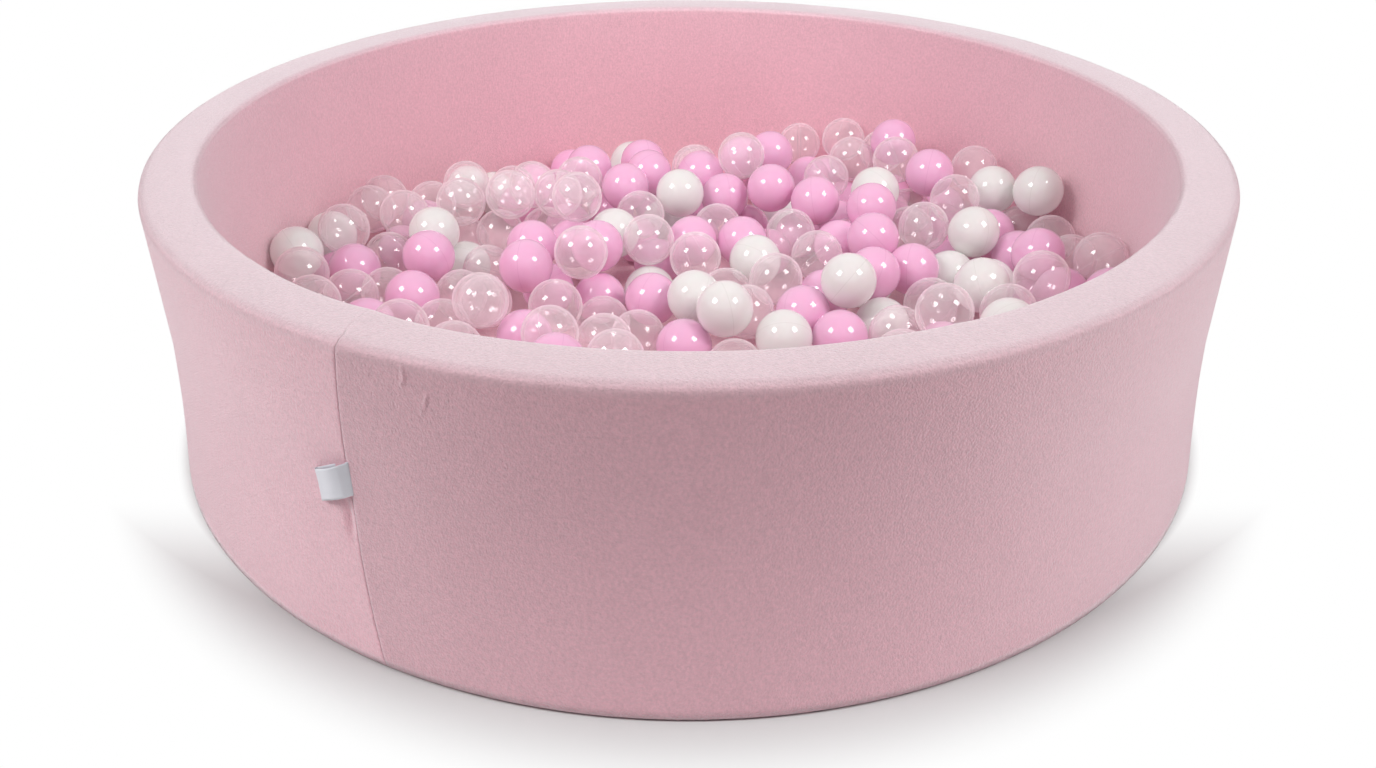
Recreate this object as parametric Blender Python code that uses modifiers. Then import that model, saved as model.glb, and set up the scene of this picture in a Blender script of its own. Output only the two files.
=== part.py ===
# A foam ball pit: a round tub of soft foam in a jersey cover, heaped with hollow plastic balls.
# Metres, +Z up. The origin is the middle of the underside, and the front of the pit faces -Y.

import math
import random

import bmesh
import bpy
import numpy as np

# Driving dimensions of the covered tub
TOP_RADIUS = 0.630
FOOT_FLARE = 0.018
HEIGHT = 0.346
WALL = 0.058
FLARE_HEIGHT = 0.160
OUTER_ROUND = 0.014
INNER_ROUND = 0.007

# Fabrics, foam and the gap that touching pieces keep
JERSEY = 0.0015
UNDERSIDE = 0.0020
FOAM_FLOOR = 0.050
CLEARANCE = 0.0003
GLUE_LINE = 0.0004

# Seams: the folded allowances behind the sewn edges
SEAM_WIDTH = 0.008
SEAM_THICKNESS = 0.0015
FLOOR_WELT_DEPTH = 0.010
FLOOR_WELT_THICKNESS = 0.0020
FOOT_WELT_WIDTH = 0.008
FOOT_WELT_HEIGHT = 0.0020

# Label, a folded loop sewn into the wall seam
LABEL_WIDTH = 0.046
LABEL_HEIGHT = 0.047
LABEL_TOP = 0.214
LABEL_TAPE = 0.0005
LABEL_FOLD_GAP = 0.0008

# Zip round the back of the underside
ZIP_INSET = 0.030
TAPE_WIDTH = 0.014
TAPE_THICKNESS = 0.0010
CHAIN_WIDTH = 0.0020
CHAIN_HEIGHT = 0.0022
CHAIN_GAP = 0.0026
ZIP_WINDOW = 0.012
ZIP_GROOVE_MARGIN = 0.003
ZIP_GROOVE_DEPTH = 0.004
SLIDER_LENGTH = 0.014
SLIDER_WIDTH = 0.009
SLIDER_PLATE = 0.0010
SLIDER_POST_LENGTH = 0.005
SLIDER_POST_WIDTH = 0.0012
SLIDER_END_GAP = 0.003
FORK_DEPTH = 0.003
PULL_LENGTH = 0.022
PULL_WIDTH = 0.006
PULL_THICKNESS = 0.0008
PULL_TONGUE = 0.003
STOP_LENGTH = 0.003

# Balls and their heap: one layer in front, which rises to a crest and falls to the back wall
BALL_RADIUS = 0.035
BALL_SPACING_GAP = 0.0004
BALL_SEAT_GAP = 0.0005
HEAP_FOOT = -0.130
HEAP_CREST = 0.340
HEAP_RISE_SHARE = 0.20
HEAP_FALL_SHARE = 0.55
HEAP_SIDE_SHARE = 0.05
HEAP_TILT_SHARE = 0.03
HEAP_STRAY_UP = 0.060
HEAP_STRAY_DOWN = 0.070
BED_RISE = 0.005
SUPPORT_SINK = 0.006
FILL_DROP = 0.012

# Facets: turned pieces share one grid of steps, so that their flats lie parallel
STEPS = 48
ZIP_STEPS_PER_STEP = 2
ZIP_SWEEP_STEPS = 20
ROUND_STEPS = 2
FULL_TURN = 2 * math.pi
STEP_ANGLE = FULL_TURN / STEPS
SEAM_AZIMUTH = math.radians(-118.2)
SEAM_OFFSET = 0.028
OVERRUN = 0.010

# The sight lines along which the balls were read: a camera in front of the pit, looking down
CAMERA_DISTANCE = 1.409
CAMERA_HEIGHT = 0.8175
CAMERA_PITCH = math.radians(31.1)
CAMERA_FOCAL_PIXELS = 1178
CAMERA_CENTRE_PIXELS = (689, 384)

# Balls read by eye from the photograph: centre and width in pixels
PINK_PIXELS = [
    (429, 256, 52), (357, 269, 54), (367, 323, 52), (415, 300, 52), (470, 186, 52), (522, 320, 54),
    (589, 168, 45), (529, 259, 53), (532, 284, 55), (545, 280, 53), (570, 244, 50), (598, 254, 51),
    (623, 187, 47), (697, 166, 44), (596, 299, 53), (556, 361, 55), (645, 303, 56), (681, 345, 56),
    (696, 241, 48), (741, 241, 47), (748, 309, 54), (741, 156, 47), (771, 188, 47), (826, 178, 46),
    (817, 256, 53), (838, 244, 48), (825, 292, 51), (803, 311, 53), (839, 337, 56), (871, 208, 50),
    (874, 240, 51), (880, 283, 51), (896, 160, 46), (974, 169, 46), (993, 234, 48), (1013, 252, 50),
    (1038, 258, 53), (1059, 289, 53), (943, 270, 48), (912, 272, 50), (1108, 295, 54),
]
WHITE_PIXELS = [
    (305, 223, 49), (295, 252, 54), (434, 232, 51), (412, 348, 54), (463, 294, 52), (473, 265, 48),
    (469, 188, 44), (609, 235, 48), (647, 288, 50), (693, 298, 52), (726, 310, 57), (755, 261, 50),
    (783, 339, 57), (848, 282, 54), (875, 191, 48), (992, 190, 48), (1038, 191, 50), (966, 238, 51),
    (981, 288, 54), (988, 285, 52), (1005, 326, 55), (889, 318, 56),
]
CLEAR_PIXELS = [
    (302, 273, 56), (315, 304, 56), (346, 232, 53), (358, 216, 48), (379, 197, 48), (404, 217, 49),
    (389, 253, 50), (354, 298, 55), (397, 330, 53), (386, 292, 50), (449, 318, 54), (452, 341, 54),
    (485, 322, 58), (491, 299, 52), (496, 266, 50), (480, 235, 48), (497, 238, 48), (461, 202, 52),
    (440, 208, 46), (513, 202, 50), (533, 185, 47), (508, 188, 46), (582, 181, 46), (577, 197, 50),
    (554, 194, 47), (540, 231, 48), (521, 249, 50), (582, 252, 54), (638, 215, 49), (647, 244, 50),
    (643, 162, 45), (648, 173, 45), (632, 163, 44), (680, 193, 49), (694, 167, 46), (701, 174, 45),
    (597, 319, 54), (602, 341, 56), (615, 358, 57), (550, 335, 55), (548, 308, 54), (637, 336, 54),
    (719, 227, 48), (694, 257, 53), (778, 282, 51), (727, 293, 52), (737, 365, 55), (724, 197, 48),
    (770, 154, 45), (800, 143, 45), (808, 178, 46), (815, 201, 49), (789, 234, 49), (845, 138, 46),
    (851, 159, 46), (893, 142, 46), (929, 174, 46), (953, 201, 49), (909, 216, 50), (915, 224, 51),
    (927, 228, 53), (1038, 284, 55), (1011, 309, 54), (932, 322, 56), (928, 301, 54), (1049, 240, 50),
    (1068, 259, 50), (1102, 259, 54), (1019, 230, 48), (960, 346, 55), (905, 358, 56), (905, 325, 55),
]
# How many pixels further down the picture put a ball in front as surely as one more pixel of width
PIXELS_PER_WIDTH_PIXEL = 4

DOME_SEGMENTS = 8
DOME_RINGS = 4
DOME_UNDERSIDE_SHARE = 0.9
SUPPORT_TURN = math.radians(13)
RELAX_ROUNDS = 1600
PULLED_SHARE = 0.9
HALVINGS = 24
HOME_PULL_SHARE = 0.01
SIDE_PULL_SHARE = 0.30
STRAY_STEP_SHARE = 0.5
SIDEWAYS_SHARE = 0.80
FILL_SEED = 7
FILL_TRIES = 30000
FILL_COLOUR_SHARES = (("pink", 0.42), ("white", 0.22), ("clear", 0.36))
LOOSE_COUNTS = {"pink": 2, "white": 4, "clear": 6}
SEATED_COUNTS = {"pink": 5, "white": 3, "clear": 18}

# Sizes worked out from those above
INNER_RADIUS = TOP_RADIUS - WALL
FOOT_RADIUS = TOP_RADIUS + FOOT_FLARE
FOAM_OUTER = TOP_RADIUS - JERSEY - CLEARANCE
FOAM_INNER = INNER_RADIUS + JERSEY + CLEARANCE
FOAM_BOTTOM = UNDERSIDE + CLEARANCE
FOAM_TOP = HEIGHT - JERSEY - CLEARANCE
FLOOR_BOTTOM = FOAM_BOTTOM + FOAM_FLOOR + CLEARANCE
FLOOR_TOP = FLOOR_BOTTOM + JERSEY
FACET_MIDDLE = SEAM_AZIMUTH - math.asin(SEAM_OFFSET / TOP_RADIUS)
GRID_START = FACET_MIDDLE - STEP_ANGLE / 2
FLAT_SHARE = math.cos(STEP_ANGLE / 2)
TAPE_BOTTOM = UNDERSIDE + CLEARANCE
TAPE_MIDDLE = TAPE_BOTTOM + TAPE_THICKNESS / 2
ZIP_RADIUS = TOP_RADIUS - ZIP_INSET
CHAIN_INNER_EDGE = ZIP_RADIUS - CHAIN_GAP / 2 - CHAIN_WIDTH
CHAIN_OUTER_EDGE = ZIP_RADIUS + CHAIN_GAP / 2 + CHAIN_WIDTH
ZIP_START_STEP = round((math.pi / 2 - GRID_START) / STEP_ANGLE) - ZIP_SWEEP_STEPS // 2
ZIP_START = GRID_START + ZIP_START_STEP * STEP_ANGLE
ZIP_SWEEP = ZIP_SWEEP_STEPS * STEP_ANGLE
SLIDER_AZIMUTH = ZIP_START + (SLIDER_END_GAP + SLIDER_LENGTH / 2) / ZIP_RADIUS
BALL_SPACING = 2 * BALL_RADIUS + BALL_SPACING_GAP
BALL_REACH = INNER_RADIUS * FLAT_SHARE - BALL_RADIUS - 2 * CLEARANCE
LOWEST_CENTRE = FLOOR_TOP + CLEARANCE + BALL_RADIUS


def clear_scene():
    for item in list(bpy.data.objects):
        bpy.data.objects.remove(item, do_unlink=True)


def make_collection(name):
    collection = bpy.data.collections.new(name)
    bpy.context.scene.collection.children.link(collection)
    return collection


def make_material(name, colour, roughness, metallic=0.0, transmission=0.0):
    material = bpy.data.materials.new(name)
    material.use_nodes = True
    shader = material.node_tree.nodes["Principled BSDF"]
    shader.inputs["Base Color"].default_value = (*colour, 1.0)
    shader.inputs["Roughness"].default_value = roughness
    shader.inputs["Metallic"].default_value = metallic
    shader.inputs["Transmission Weight"].default_value = transmission
    return material


def add_object(name, mesh, material, collection):
    item = bpy.data.objects.new(name, mesh)
    collection.objects.link(item)
    if material:
        mesh.materials.append(material)
    return item


def hide_cutter(item):
    item.hide_render = True
    item.display_type = "WIRE"


def evaluated_mesh(item):
    depsgraph = bpy.context.evaluated_depsgraph_get()
    return bpy.data.meshes.new_from_object(item.evaluated_get(depsgraph))


def smooth(mesh):
    mesh.shade_smooth()
    mesh.set_sharp_from_angle(angle=math.radians(30))


def turned(name, profile, material, collection, start=GRID_START, sweep=FULL_TURN, steps=STEPS):
    """A closed (radius, height) profile turned about Z, with its two ends filled on a part turn."""
    mesh = bpy.data.meshes.new(name)
    points = [(radius, 0, height) for radius, height in profile]
    edges = [(index, (index + 1) % len(points)) for index in range(len(points))]
    mesh.from_pydata(points, edges, [])
    item = add_object(name, mesh, None, collection)
    screw = item.modifiers.new("Turn", "SCREW")
    screw.axis = "Z"
    screw.angle = sweep
    screw.steps = steps
    screw.render_steps = steps
    screw.use_merge_vertices = True
    screw.merge_threshold = CLEARANCE / 10
    item.data = evaluated_mesh(item)
    item.modifiers.clear()
    work = bmesh.new()
    work.from_mesh(item.data)
    bmesh.ops.remove_doubles(work, verts=work.verts, dist=CLEARANCE / 10)
    open_edges = [edge for edge in work.edges if edge.is_boundary]
    if open_edges:
        bmesh.ops.holes_fill(work, edges=open_edges, sides=0)
    bmesh.ops.recalc_face_normals(work, faces=work.faces)
    work.to_mesh(item.data)
    work.free()
    item.data.materials.append(material)
    item.rotation_euler.z = start
    smooth(item.data)
    return item


def plate(name, outline, thickness, material, collection):
    """A flat outline in the local XY plane, thick along local Z, as one welded mesh."""
    curve = bpy.data.curves.new(name, "CURVE")
    curve.dimensions = "2D"
    curve.fill_mode = "BOTH"
    curve.extrude = thickness / 2
    spline = curve.splines.new("POLY")
    spline.points.add(len(outline) - 1)
    for point, (across, along) in zip(spline.points, outline):
        point.co = (across, along, 0, 1)
    spline.use_cyclic_u = True
    guide = bpy.data.objects.new(name + "_outline", curve)
    collection.objects.link(guide)
    bpy.context.view_layer.update()
    mesh = evaluated_mesh(guide)
    bpy.data.objects.remove(guide, do_unlink=True)
    work = bmesh.new()
    work.from_mesh(mesh)
    bmesh.ops.remove_doubles(work, verts=work.verts, dist=CLEARANCE / 10)
    bmesh.ops.recalc_face_normals(work, faces=work.faces)
    work.to_mesh(mesh)
    work.free()
    return add_object(name, mesh, material, collection)


def boolean(target, tool, operation):
    modifier = target.modifiers.new(operation.title(), "BOOLEAN")
    modifier.operation = operation
    modifier.solver = "EXACT"
    if isinstance(tool, bpy.types.Collection):
        modifier.operand_type = "COLLECTION"
        modifier.collection = tool
    else:
        modifier.object = tool


def arc(centre_radius, centre_height, size, first_degrees, last_degrees):
    """Points of a rounded corner in the (radius, height) plane, named by their angles."""
    points = []
    for index in range(ROUND_STEPS + 1):
        angle = math.radians(first_degrees + (last_degrees - first_degrees) * index / ROUND_STEPS)
        points.append((centre_radius + size * math.cos(angle), centre_height + size * math.sin(angle)))
    return points


def sleeve_line(inset, outer_foot, inner_foot):
    """The line of the jersey sleeve, inset from its face: up the outside, over the rim, down inside."""
    flare = FOOT_FLARE * (1 - outer_foot / FLARE_HEIGHT)
    line = [(TOP_RADIUS + flare - inset, outer_foot), (TOP_RADIUS - inset, FLARE_HEIGHT)]
    line += arc(TOP_RADIUS - OUTER_ROUND, HEIGHT - OUTER_ROUND, OUTER_ROUND - inset, 0, 90)
    line += arc(INNER_RADIUS + INNER_ROUND, HEIGHT - INNER_ROUND, INNER_ROUND - inset, 90, 180)
    line.append((INNER_RADIUS + inset, inner_foot))
    return line


def sleeve_outline(face, back, outer_foot, inner_foot):
    """A closed band between two insets of the sleeve line."""
    outside = sleeve_line(face, outer_foot, inner_foot)
    inside = sleeve_line(back, outer_foot, inner_foot)
    return outside + inside[::-1]


def add_foam(parts, cutters, foam):
    """Two bent slabs glued end to end make the wall, round a disc that is the floor."""
    profile = [(FOAM_OUTER, FOAM_BOTTOM)]
    inset = JERSEY + CLEARANCE
    profile += arc(TOP_RADIUS - OUTER_ROUND, HEIGHT - OUTER_ROUND, OUTER_ROUND - inset, 0, 90)
    profile += arc(INNER_RADIUS + INNER_ROUND, HEIGHT - INNER_ROUND, INNER_ROUND - inset, 90, 180)
    profile.append((FOAM_INNER, FOAM_BOTTOM))
    first_step = round((-math.pi - GRID_START) / STEP_ANGLE)
    walls = []
    for name, step in (("foam_wall_front", first_step), ("foam_wall_back", first_step + STEPS // 2)):
        start = GRID_START + step * STEP_ANGLE
        wall = turned(name, profile, foam, parts, start, math.pi, STEPS // 2)
        walls.append(wall)
    saw = plate("glue_line_cutter", rectangle(2 * FOOT_RADIUS, GLUE_LINE), 2 * HEIGHT, None, cutters)
    saw.rotation_euler.z = GRID_START + first_step * STEP_ANGLE
    saw.location.z = HEIGHT / 2
    hide_cutter(saw)
    for wall in walls:
        boolean(wall, saw, "DIFFERENCE")
    disc_radius = FOAM_INNER - FLOOR_WELT_THICKNESS - 2 * CLEARANCE
    disc(parts, "foam_floor", disc_radius, FOAM_BOTTOM, FOAM_BOTTOM + FOAM_FLOOR, foam)
    return walls


def rectangle(length, width):
    return [(-length / 2, -width / 2), (length / 2, -width / 2), (length / 2, width / 2),
            (-length / 2, width / 2)]


def disc(parts, name, radius, bottom, top, material):
    """A flat round panel whose facets follow the shared grid."""
    work = bmesh.new()
    bmesh.ops.create_cone(work, cap_ends=True, segments=STEPS, radius1=radius, radius2=radius,
                          depth=top - bottom)
    mesh = bpy.data.meshes.new(name)
    work.to_mesh(mesh)
    work.free()
    item = add_object(name, mesh, material, parts)
    item.location.z = (top + bottom) / 2
    item.rotation_euler.z = GRID_START
    smooth(mesh)
    return item


def add_cover(parts, cutters, jersey, underside_cloth):
    """The sleeve over the wall, the floor panel, the underside panel and the two round welts."""
    turned("cover_sleeve", sleeve_outline(0, JERSEY, FOAM_BOTTOM, FLOOR_BOTTOM), jersey, parts)
    disc(parts, "cover_floor", INNER_RADIUS - CLEARANCE, FLOOR_BOTTOM, FLOOR_TOP, jersey)
    underside = disc(parts, "cover_underside", FOOT_RADIUS, 0, UNDERSIDE, underside_cloth)
    half = ZIP_WINDOW / 2
    window = band("zip_window_cutter", ZIP_RADIUS - half, ZIP_RADIUS + half, -OVERRUN,
                  UNDERSIDE + OVERRUN, None, cutters, extra_steps=1)
    hide_cutter(window)
    boolean(underside, window, "DIFFERENCE")
    welt_top = FLOOR_BOTTOM - CLEARANCE
    turned("floor_seam_welt", [
        (FOAM_INNER - CLEARANCE, welt_top),
        (FOAM_INNER - CLEARANCE, welt_top - FLOOR_WELT_DEPTH),
        (FOAM_INNER - CLEARANCE - FLOOR_WELT_THICKNESS, welt_top - FLOOR_WELT_DEPTH),
        (FOAM_INNER - CLEARANCE - FLOOR_WELT_THICKNESS, welt_top)], jersey, parts)
    foot_top = FOAM_BOTTOM + FOOT_WELT_HEIGHT
    flare = FOOT_FLARE * (1 - foot_top / FLARE_HEIGHT)
    foot_edge = TOP_RADIUS + flare - JERSEY - CLEARANCE
    turned("foot_seam_welt", [
        (foot_edge, foot_top), (foot_edge, FOAM_BOTTOM),
        (foot_edge - FOOT_WELT_WIDTH, FOAM_BOTTOM), (foot_edge - FOOT_WELT_WIDTH, foot_top)],
        jersey, parts)


def stand_at_seam(item):
    """Stand a (radius, height) plate up beside the middle of the seam's facet."""
    item.rotation_euler = (math.pi / 2, 0, FACET_MIDDLE)
    item.location.x = -SEAM_OFFSET * math.sin(FACET_MIDDLE)
    item.location.y = SEAM_OFFSET * math.cos(FACET_MIDDLE)


def flatten_radii(outline):
    """Radii measured to the middle of a facet, where the turned pieces are flat."""
    return [(radius * FLAT_SHARE, height) for radius, height in outline]


def add_wall_seam(parts, cutters, jersey, front_wall):
    """The wall seam's folded allowance lies behind the sleeve, in a channel pressed into the foam."""
    face = JERSEY + CLEARANCE
    foot = FOAM_BOTTOM + FOOT_WELT_HEIGHT + CLEARANCE
    outline = sleeve_outline(face, face + SEAM_THICKNESS, foot, FLOOR_BOTTOM)
    allowance = plate("wall_seam_allowance", flatten_radii(outline), SEAM_WIDTH, jersey, parts)
    stand_at_seam(allowance)
    deep = face + SEAM_THICKNESS + CLEARANCE
    channel_outline = sleeve_outline(0, deep, -OVERRUN, FLOOR_BOTTOM - CLEARANCE)
    channel_width = SEAM_WIDTH + 2 * CLEARANCE
    channel = plate("seam_channel_cutter", flatten_radii(channel_outline), channel_width, None, cutters)
    stand_at_seam(channel)
    hide_cutter(channel)
    boolean(front_wall, channel, "DIFFERENCE")


def add_label(parts, ribbon):
    """A ribbon folded into a flat loop, its two ends in the wall seam and its fold to the left."""
    depth = 2 * LABEL_TAPE + LABEL_FOLD_GAP
    outline = [
        (0, 0), (-LABEL_WIDTH + LABEL_TAPE, 0), (-LABEL_WIDTH, LABEL_TAPE),
        (-LABEL_WIDTH, depth - LABEL_TAPE), (-LABEL_WIDTH + LABEL_TAPE, depth), (0, depth),
        (0, depth - LABEL_TAPE), (-LABEL_WIDTH + 2 * LABEL_TAPE, depth - LABEL_TAPE),
        (-LABEL_WIDTH + 2 * LABEL_TAPE, LABEL_TAPE), (0, LABEL_TAPE)]
    centred = [(across, along - depth / 2) for across, along in outline]
    label = plate("side_label", centred, LABEL_HEIGHT, ribbon, parts)
    stand_off = TOP_RADIUS * FLAT_SHARE + CLEARANCE + depth / 2
    label.rotation_euler.z = FACET_MIDDLE + math.pi / 2
    label.location = (
        stand_off * math.cos(FACET_MIDDLE) - SEAM_OFFSET * math.sin(FACET_MIDDLE),
        stand_off * math.sin(FACET_MIDDLE) + SEAM_OFFSET * math.cos(FACET_MIDDLE),
        LABEL_TOP - LABEL_HEIGHT / 2)


def band(name, inner, outer, bottom, top, material, collection, extra_steps=0):
    """A flat strip that runs round the back on the zip's finer grid."""
    fine = STEP_ANGLE / ZIP_STEPS_PER_STEP
    steps = ZIP_SWEEP_STEPS * ZIP_STEPS_PER_STEP + 2 * extra_steps
    profile = [(outer, top), (outer, bottom), (inner, bottom), (inner, top)]
    return turned(name, profile, material, collection, ZIP_START - extra_steps * fine,
                  steps * fine, steps)


def place_on_zip(item, azimuth, height):
    """Put a small piece on the zip's centre line, its local X along the zip."""
    item.location = (ZIP_RADIUS * math.cos(azimuth), ZIP_RADIUS * math.sin(azimuth), height)
    item.rotation_euler.z = azimuth + math.pi / 2


def add_zip(parts, cutters, back_wall, tape_cloth, chain_plastic, slider_metal):
    """Two tapes on the underside panel, two chain halves over a window, a slider and its pull."""
    tape_top = TAPE_BOTTOM + TAPE_THICKNESS
    chain_bottom = TAPE_MIDDLE - CHAIN_HEIGHT / 2
    chain_top = TAPE_MIDDLE + CHAIN_HEIGHT / 2
    outer_edge = CHAIN_OUTER_EDGE + CLEARANCE
    inner_edge = CHAIN_INNER_EDGE - CLEARANCE
    band("zip_tape_outer", outer_edge, outer_edge + TAPE_WIDTH, TAPE_BOTTOM, tape_top, tape_cloth, parts)
    band("zip_tape_inner", inner_edge - TAPE_WIDTH, inner_edge, TAPE_BOTTOM, tape_top, tape_cloth, parts)
    band("zip_chain_outer", CHAIN_OUTER_EDGE - CHAIN_WIDTH, CHAIN_OUTER_EDGE, chain_bottom, chain_top,
         chain_plastic, parts)
    band("zip_chain_inner", CHAIN_INNER_EDGE, CHAIN_INNER_EDGE + CHAIN_WIDTH, chain_bottom, chain_top,
         chain_plastic, parts)
    groove = band("zip_groove_cutter", inner_edge - TAPE_WIDTH - ZIP_GROOVE_MARGIN,
                  outer_edge + TAPE_WIDTH + ZIP_GROOVE_MARGIN, -OVERRUN,
                  FOAM_BOTTOM + ZIP_GROOVE_DEPTH, None, cutters, extra_steps=1)
    hide_cutter(groove)
    boolean(back_wall, groove, "DIFFERENCE")

    stop_reach = STOP_LENGTH / 2 + CLEARANCE
    stop_width = CHAIN_OUTER_EDGE - CHAIN_INNER_EDGE
    for name, azimuth in (("zip_stop_closed", ZIP_START - stop_reach / ZIP_RADIUS),
                          ("zip_stop_open", ZIP_START + ZIP_SWEEP + stop_reach / ZIP_RADIUS)):
        stop = plate(name, rectangle(STOP_LENGTH, stop_width), CHAIN_HEIGHT, slider_metal, parts)
        place_on_zip(stop, azimuth, TAPE_MIDDLE)

    lower_middle = chain_bottom - CLEARANCE - SLIDER_PLATE / 2
    upper_middle = chain_top + CLEARANCE + SLIDER_PLATE / 2
    fork = PULL_WIDTH / 2
    tongue = fork / 2
    half = SLIDER_LENGTH / 2
    side = SLIDER_WIDTH / 2
    lower_outline = [
        (-half, -side), (half, -side), (half, -tongue - CLEARANCE),
        (half - FORK_DEPTH, -tongue - CLEARANCE), (half - FORK_DEPTH, tongue + CLEARANCE),
        (half, tongue + CLEARANCE), (half, side), (-half, side)]
    slider = plate("zip_slider", lower_outline, SLIDER_PLATE, slider_metal, parts)
    place_on_zip(slider, SLIDER_AZIMUTH, lower_middle)
    upper = plate("slider_upper_plate", rectangle(SLIDER_LENGTH, SLIDER_WIDTH), SLIDER_PLATE, None, cutters)
    post = plate("slider_post", rectangle(SLIDER_POST_LENGTH, SLIDER_POST_WIDTH),
                 upper_middle - lower_middle, None, cutters)
    place_on_zip(upper, SLIDER_AZIMUTH, upper_middle)
    place_on_zip(post, SLIDER_AZIMUTH, (upper_middle + lower_middle) / 2)
    for piece in (post, upper):
        hide_cutter(piece)
        boolean(slider, piece, "UNION")

    pin = half - FORK_DEPTH + CLEARANCE + PULL_THICKNESS
    pull_outline = [
        (half + CLEARANCE - pin, -fork), (half + PULL_LENGTH - pin, -fork),
        (half + PULL_LENGTH - pin, fork), (half + CLEARANCE - pin, fork),
        (half + CLEARANCE - pin, tongue), (-PULL_THICKNESS, tongue),
        (-PULL_THICKNESS, -tongue), (half + CLEARANCE - pin, -tongue)]
    pull = plate("zip_pull_tab", pull_outline, PULL_THICKNESS, slider_metal, parts)
    place_on_zip(pull, SLIDER_AZIMUTH, lower_middle - (SLIDER_PLATE - PULL_THICKNESS) / 2)
    pull.location.x += pin * -math.sin(SLIDER_AZIMUTH)
    pull.location.y += pin * math.cos(SLIDER_AZIMUTH)


def heap_height(across, along):
    """Height of the top layer's ball centres over a place in the pit."""
    rise = HEAP_RISE_SHARE * (min(along, HEAP_CREST) - HEAP_FOOT)
    rise += HEAP_SIDE_SHARE * abs(across) + HEAP_TILT_SHARE * across
    fall = HEAP_FALL_SHARE * max(along - HEAP_CREST, 0)
    return LOWEST_CENTRE + max(rise - fall, 0)


def bed_height(along):
    """Height of the joined bed between its domes."""
    return heap_height(0, along) + BED_RISE


def camera_place():
    return np.array([0.0, -CAMERA_DISTANCE, CAMERA_HEIGHT])


def sight_directions(pixels):
    """Unit directions from the camera through pixels of the picture."""
    across = (pixels[:, 0] - CAMERA_CENTRE_PIXELS[0]) / CAMERA_FOCAL_PIXELS
    down = (pixels[:, 1] - CAMERA_CENTRE_PIXELS[1]) / CAMERA_FOCAL_PIXELS
    level = math.cos(CAMERA_PITCH) - down * math.sin(CAMERA_PITCH)
    fall = -math.sin(CAMERA_PITCH) - down * math.cos(CAMERA_PITCH)
    lines = np.stack([across, level, fall], axis=1)
    return lines / np.linalg.norm(lines, axis=1, keepdims=True)


def keep_inside(places):
    """Bring ball centres back inside the wall and above the floor."""
    reach = np.hypot(places[:, 0], places[:, 1])
    shrink = np.minimum(1.0, BALL_REACH / np.maximum(reach, BALL_RADIUS))
    places[:, 0] *= shrink
    places[:, 1] *= shrink
    places[:, 2] = np.maximum(places[:, 2], LOWEST_CENTRE)
    return places


def settle(home, lines, nearness):
    """Push overlapping balls apart: along their sight lines, or sideways when they are abreast."""
    places = home.copy()
    nearer = nearness[:, None] > nearness[None, :]
    for turn in range(RELAX_ROUNDS):
        freedom = min(turn / (RELAX_ROUNDS * PULLED_SHARE), 1)
        pulled = freedom < 1
        away = places[:, None, :] - places[None, :, :]
        distance = np.linalg.norm(away, axis=2)
        np.fill_diagonal(distance, 2 * BALL_SPACING)
        overlap = np.maximum(BALL_SPACING - distance, 0)
        if not pulled and overlap.max() <= BALL_SPACING_GAP / 20:
            break
        along = np.einsum("ijk,ik->ij", away, lines)
        abreast = np.sqrt(np.maximum(distance ** 2 - along ** 2, 0))
        deep = (overlap > 0) & (abreast < SIDEWAYS_SHARE * BALL_SPACING) & pulled
        wanted = np.sqrt(np.maximum(BALL_SPACING ** 2 - abreast ** 2, 0))
        shortfall = np.maximum(np.where(nearer, wanted + along, wanted - along), 0)
        depth_push = np.where(deep, np.where(nearer, -shortfall, shortfall), 0).sum(axis=1) / 4
        side_push = np.where(deep, 0, overlap)[:, :, None] * away / distance[:, :, None] / 2
        places = places + depth_push[:, None] * lines + side_push.sum(axis=1)
        drift = home - places
        drift_along = np.einsum("ij,ij->i", drift, lines)[:, None] * lines
        places = places + (1 - freedom) * (SIDE_PULL_SHARE * (drift - drift_along) + HOME_PULL_SHARE * drift)
        surface = np.array([heap_height(*place[:2]) for place in places])
        stray = places[:, 2] - surface
        excess = np.maximum(stray - HEAP_STRAY_UP, 0) + np.minimum(stray + HEAP_STRAY_DOWN, 0)
        places = keep_inside(places - (excess / lines[:, 2])[:, None] * lines * STRAY_STEP_SHARE)
    return places


def meet_heap(camera, line):
    """The place where a sight line comes down to the height of the heap, found by halving."""
    near = 0.0
    far = (LOWEST_CENTRE - camera[2]) / line[2]
    for halving in range(HALVINGS):
        reach = (near + far) / 2
        place = camera + reach * line
        if place[2] > heap_height(place[0], place[1]):
            near = reach
        else:
            far = reach
    return camera + far * line


def seen_balls():
    """Places and colours of the balls read from the photograph, slid along their sight lines."""
    rows = [(*row, "pink") for row in PINK_PIXELS]
    rows += [(*row, "white") for row in WHITE_PIXELS]
    rows += [(*row, "clear") for row in CLEAR_PIXELS]
    pixels = np.array([row[:3] for row in rows], float)
    lines = sight_directions(pixels)
    camera = camera_place()
    home = np.array([meet_heap(camera, line) for line in lines])
    nearness = pixels[:, 1] + PIXELS_PER_WIDTH_PIXEL * pixels[:, 2]
    places = settle(home, lines, nearness)
    kept = []
    for index in np.argsort(-places[:, 2]):
        spaced = all(np.linalg.norm(places[index] - places[other]) > BALL_SPACING - BALL_SPACING_GAP / 2
                     for other in kept)
        if spaced:
            kept.append(int(index))
    return [(places[index], rows[index][3]) for index in kept]


def hides_seen(place, seen_places, seen_depths, camera):
    """True where a ball at this place would stand before one that the photograph shows."""
    offset = place - camera
    depth = np.linalg.norm(offset)
    seen_directions = (seen_places - camera) / seen_depths[:, None]
    spread = np.linalg.norm(seen_directions - offset / depth, axis=1) * seen_depths
    return bool(np.any((spread < 2 * BALL_RADIUS * SIDEWAYS_SHARE) & (depth < seen_depths)))


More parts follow.
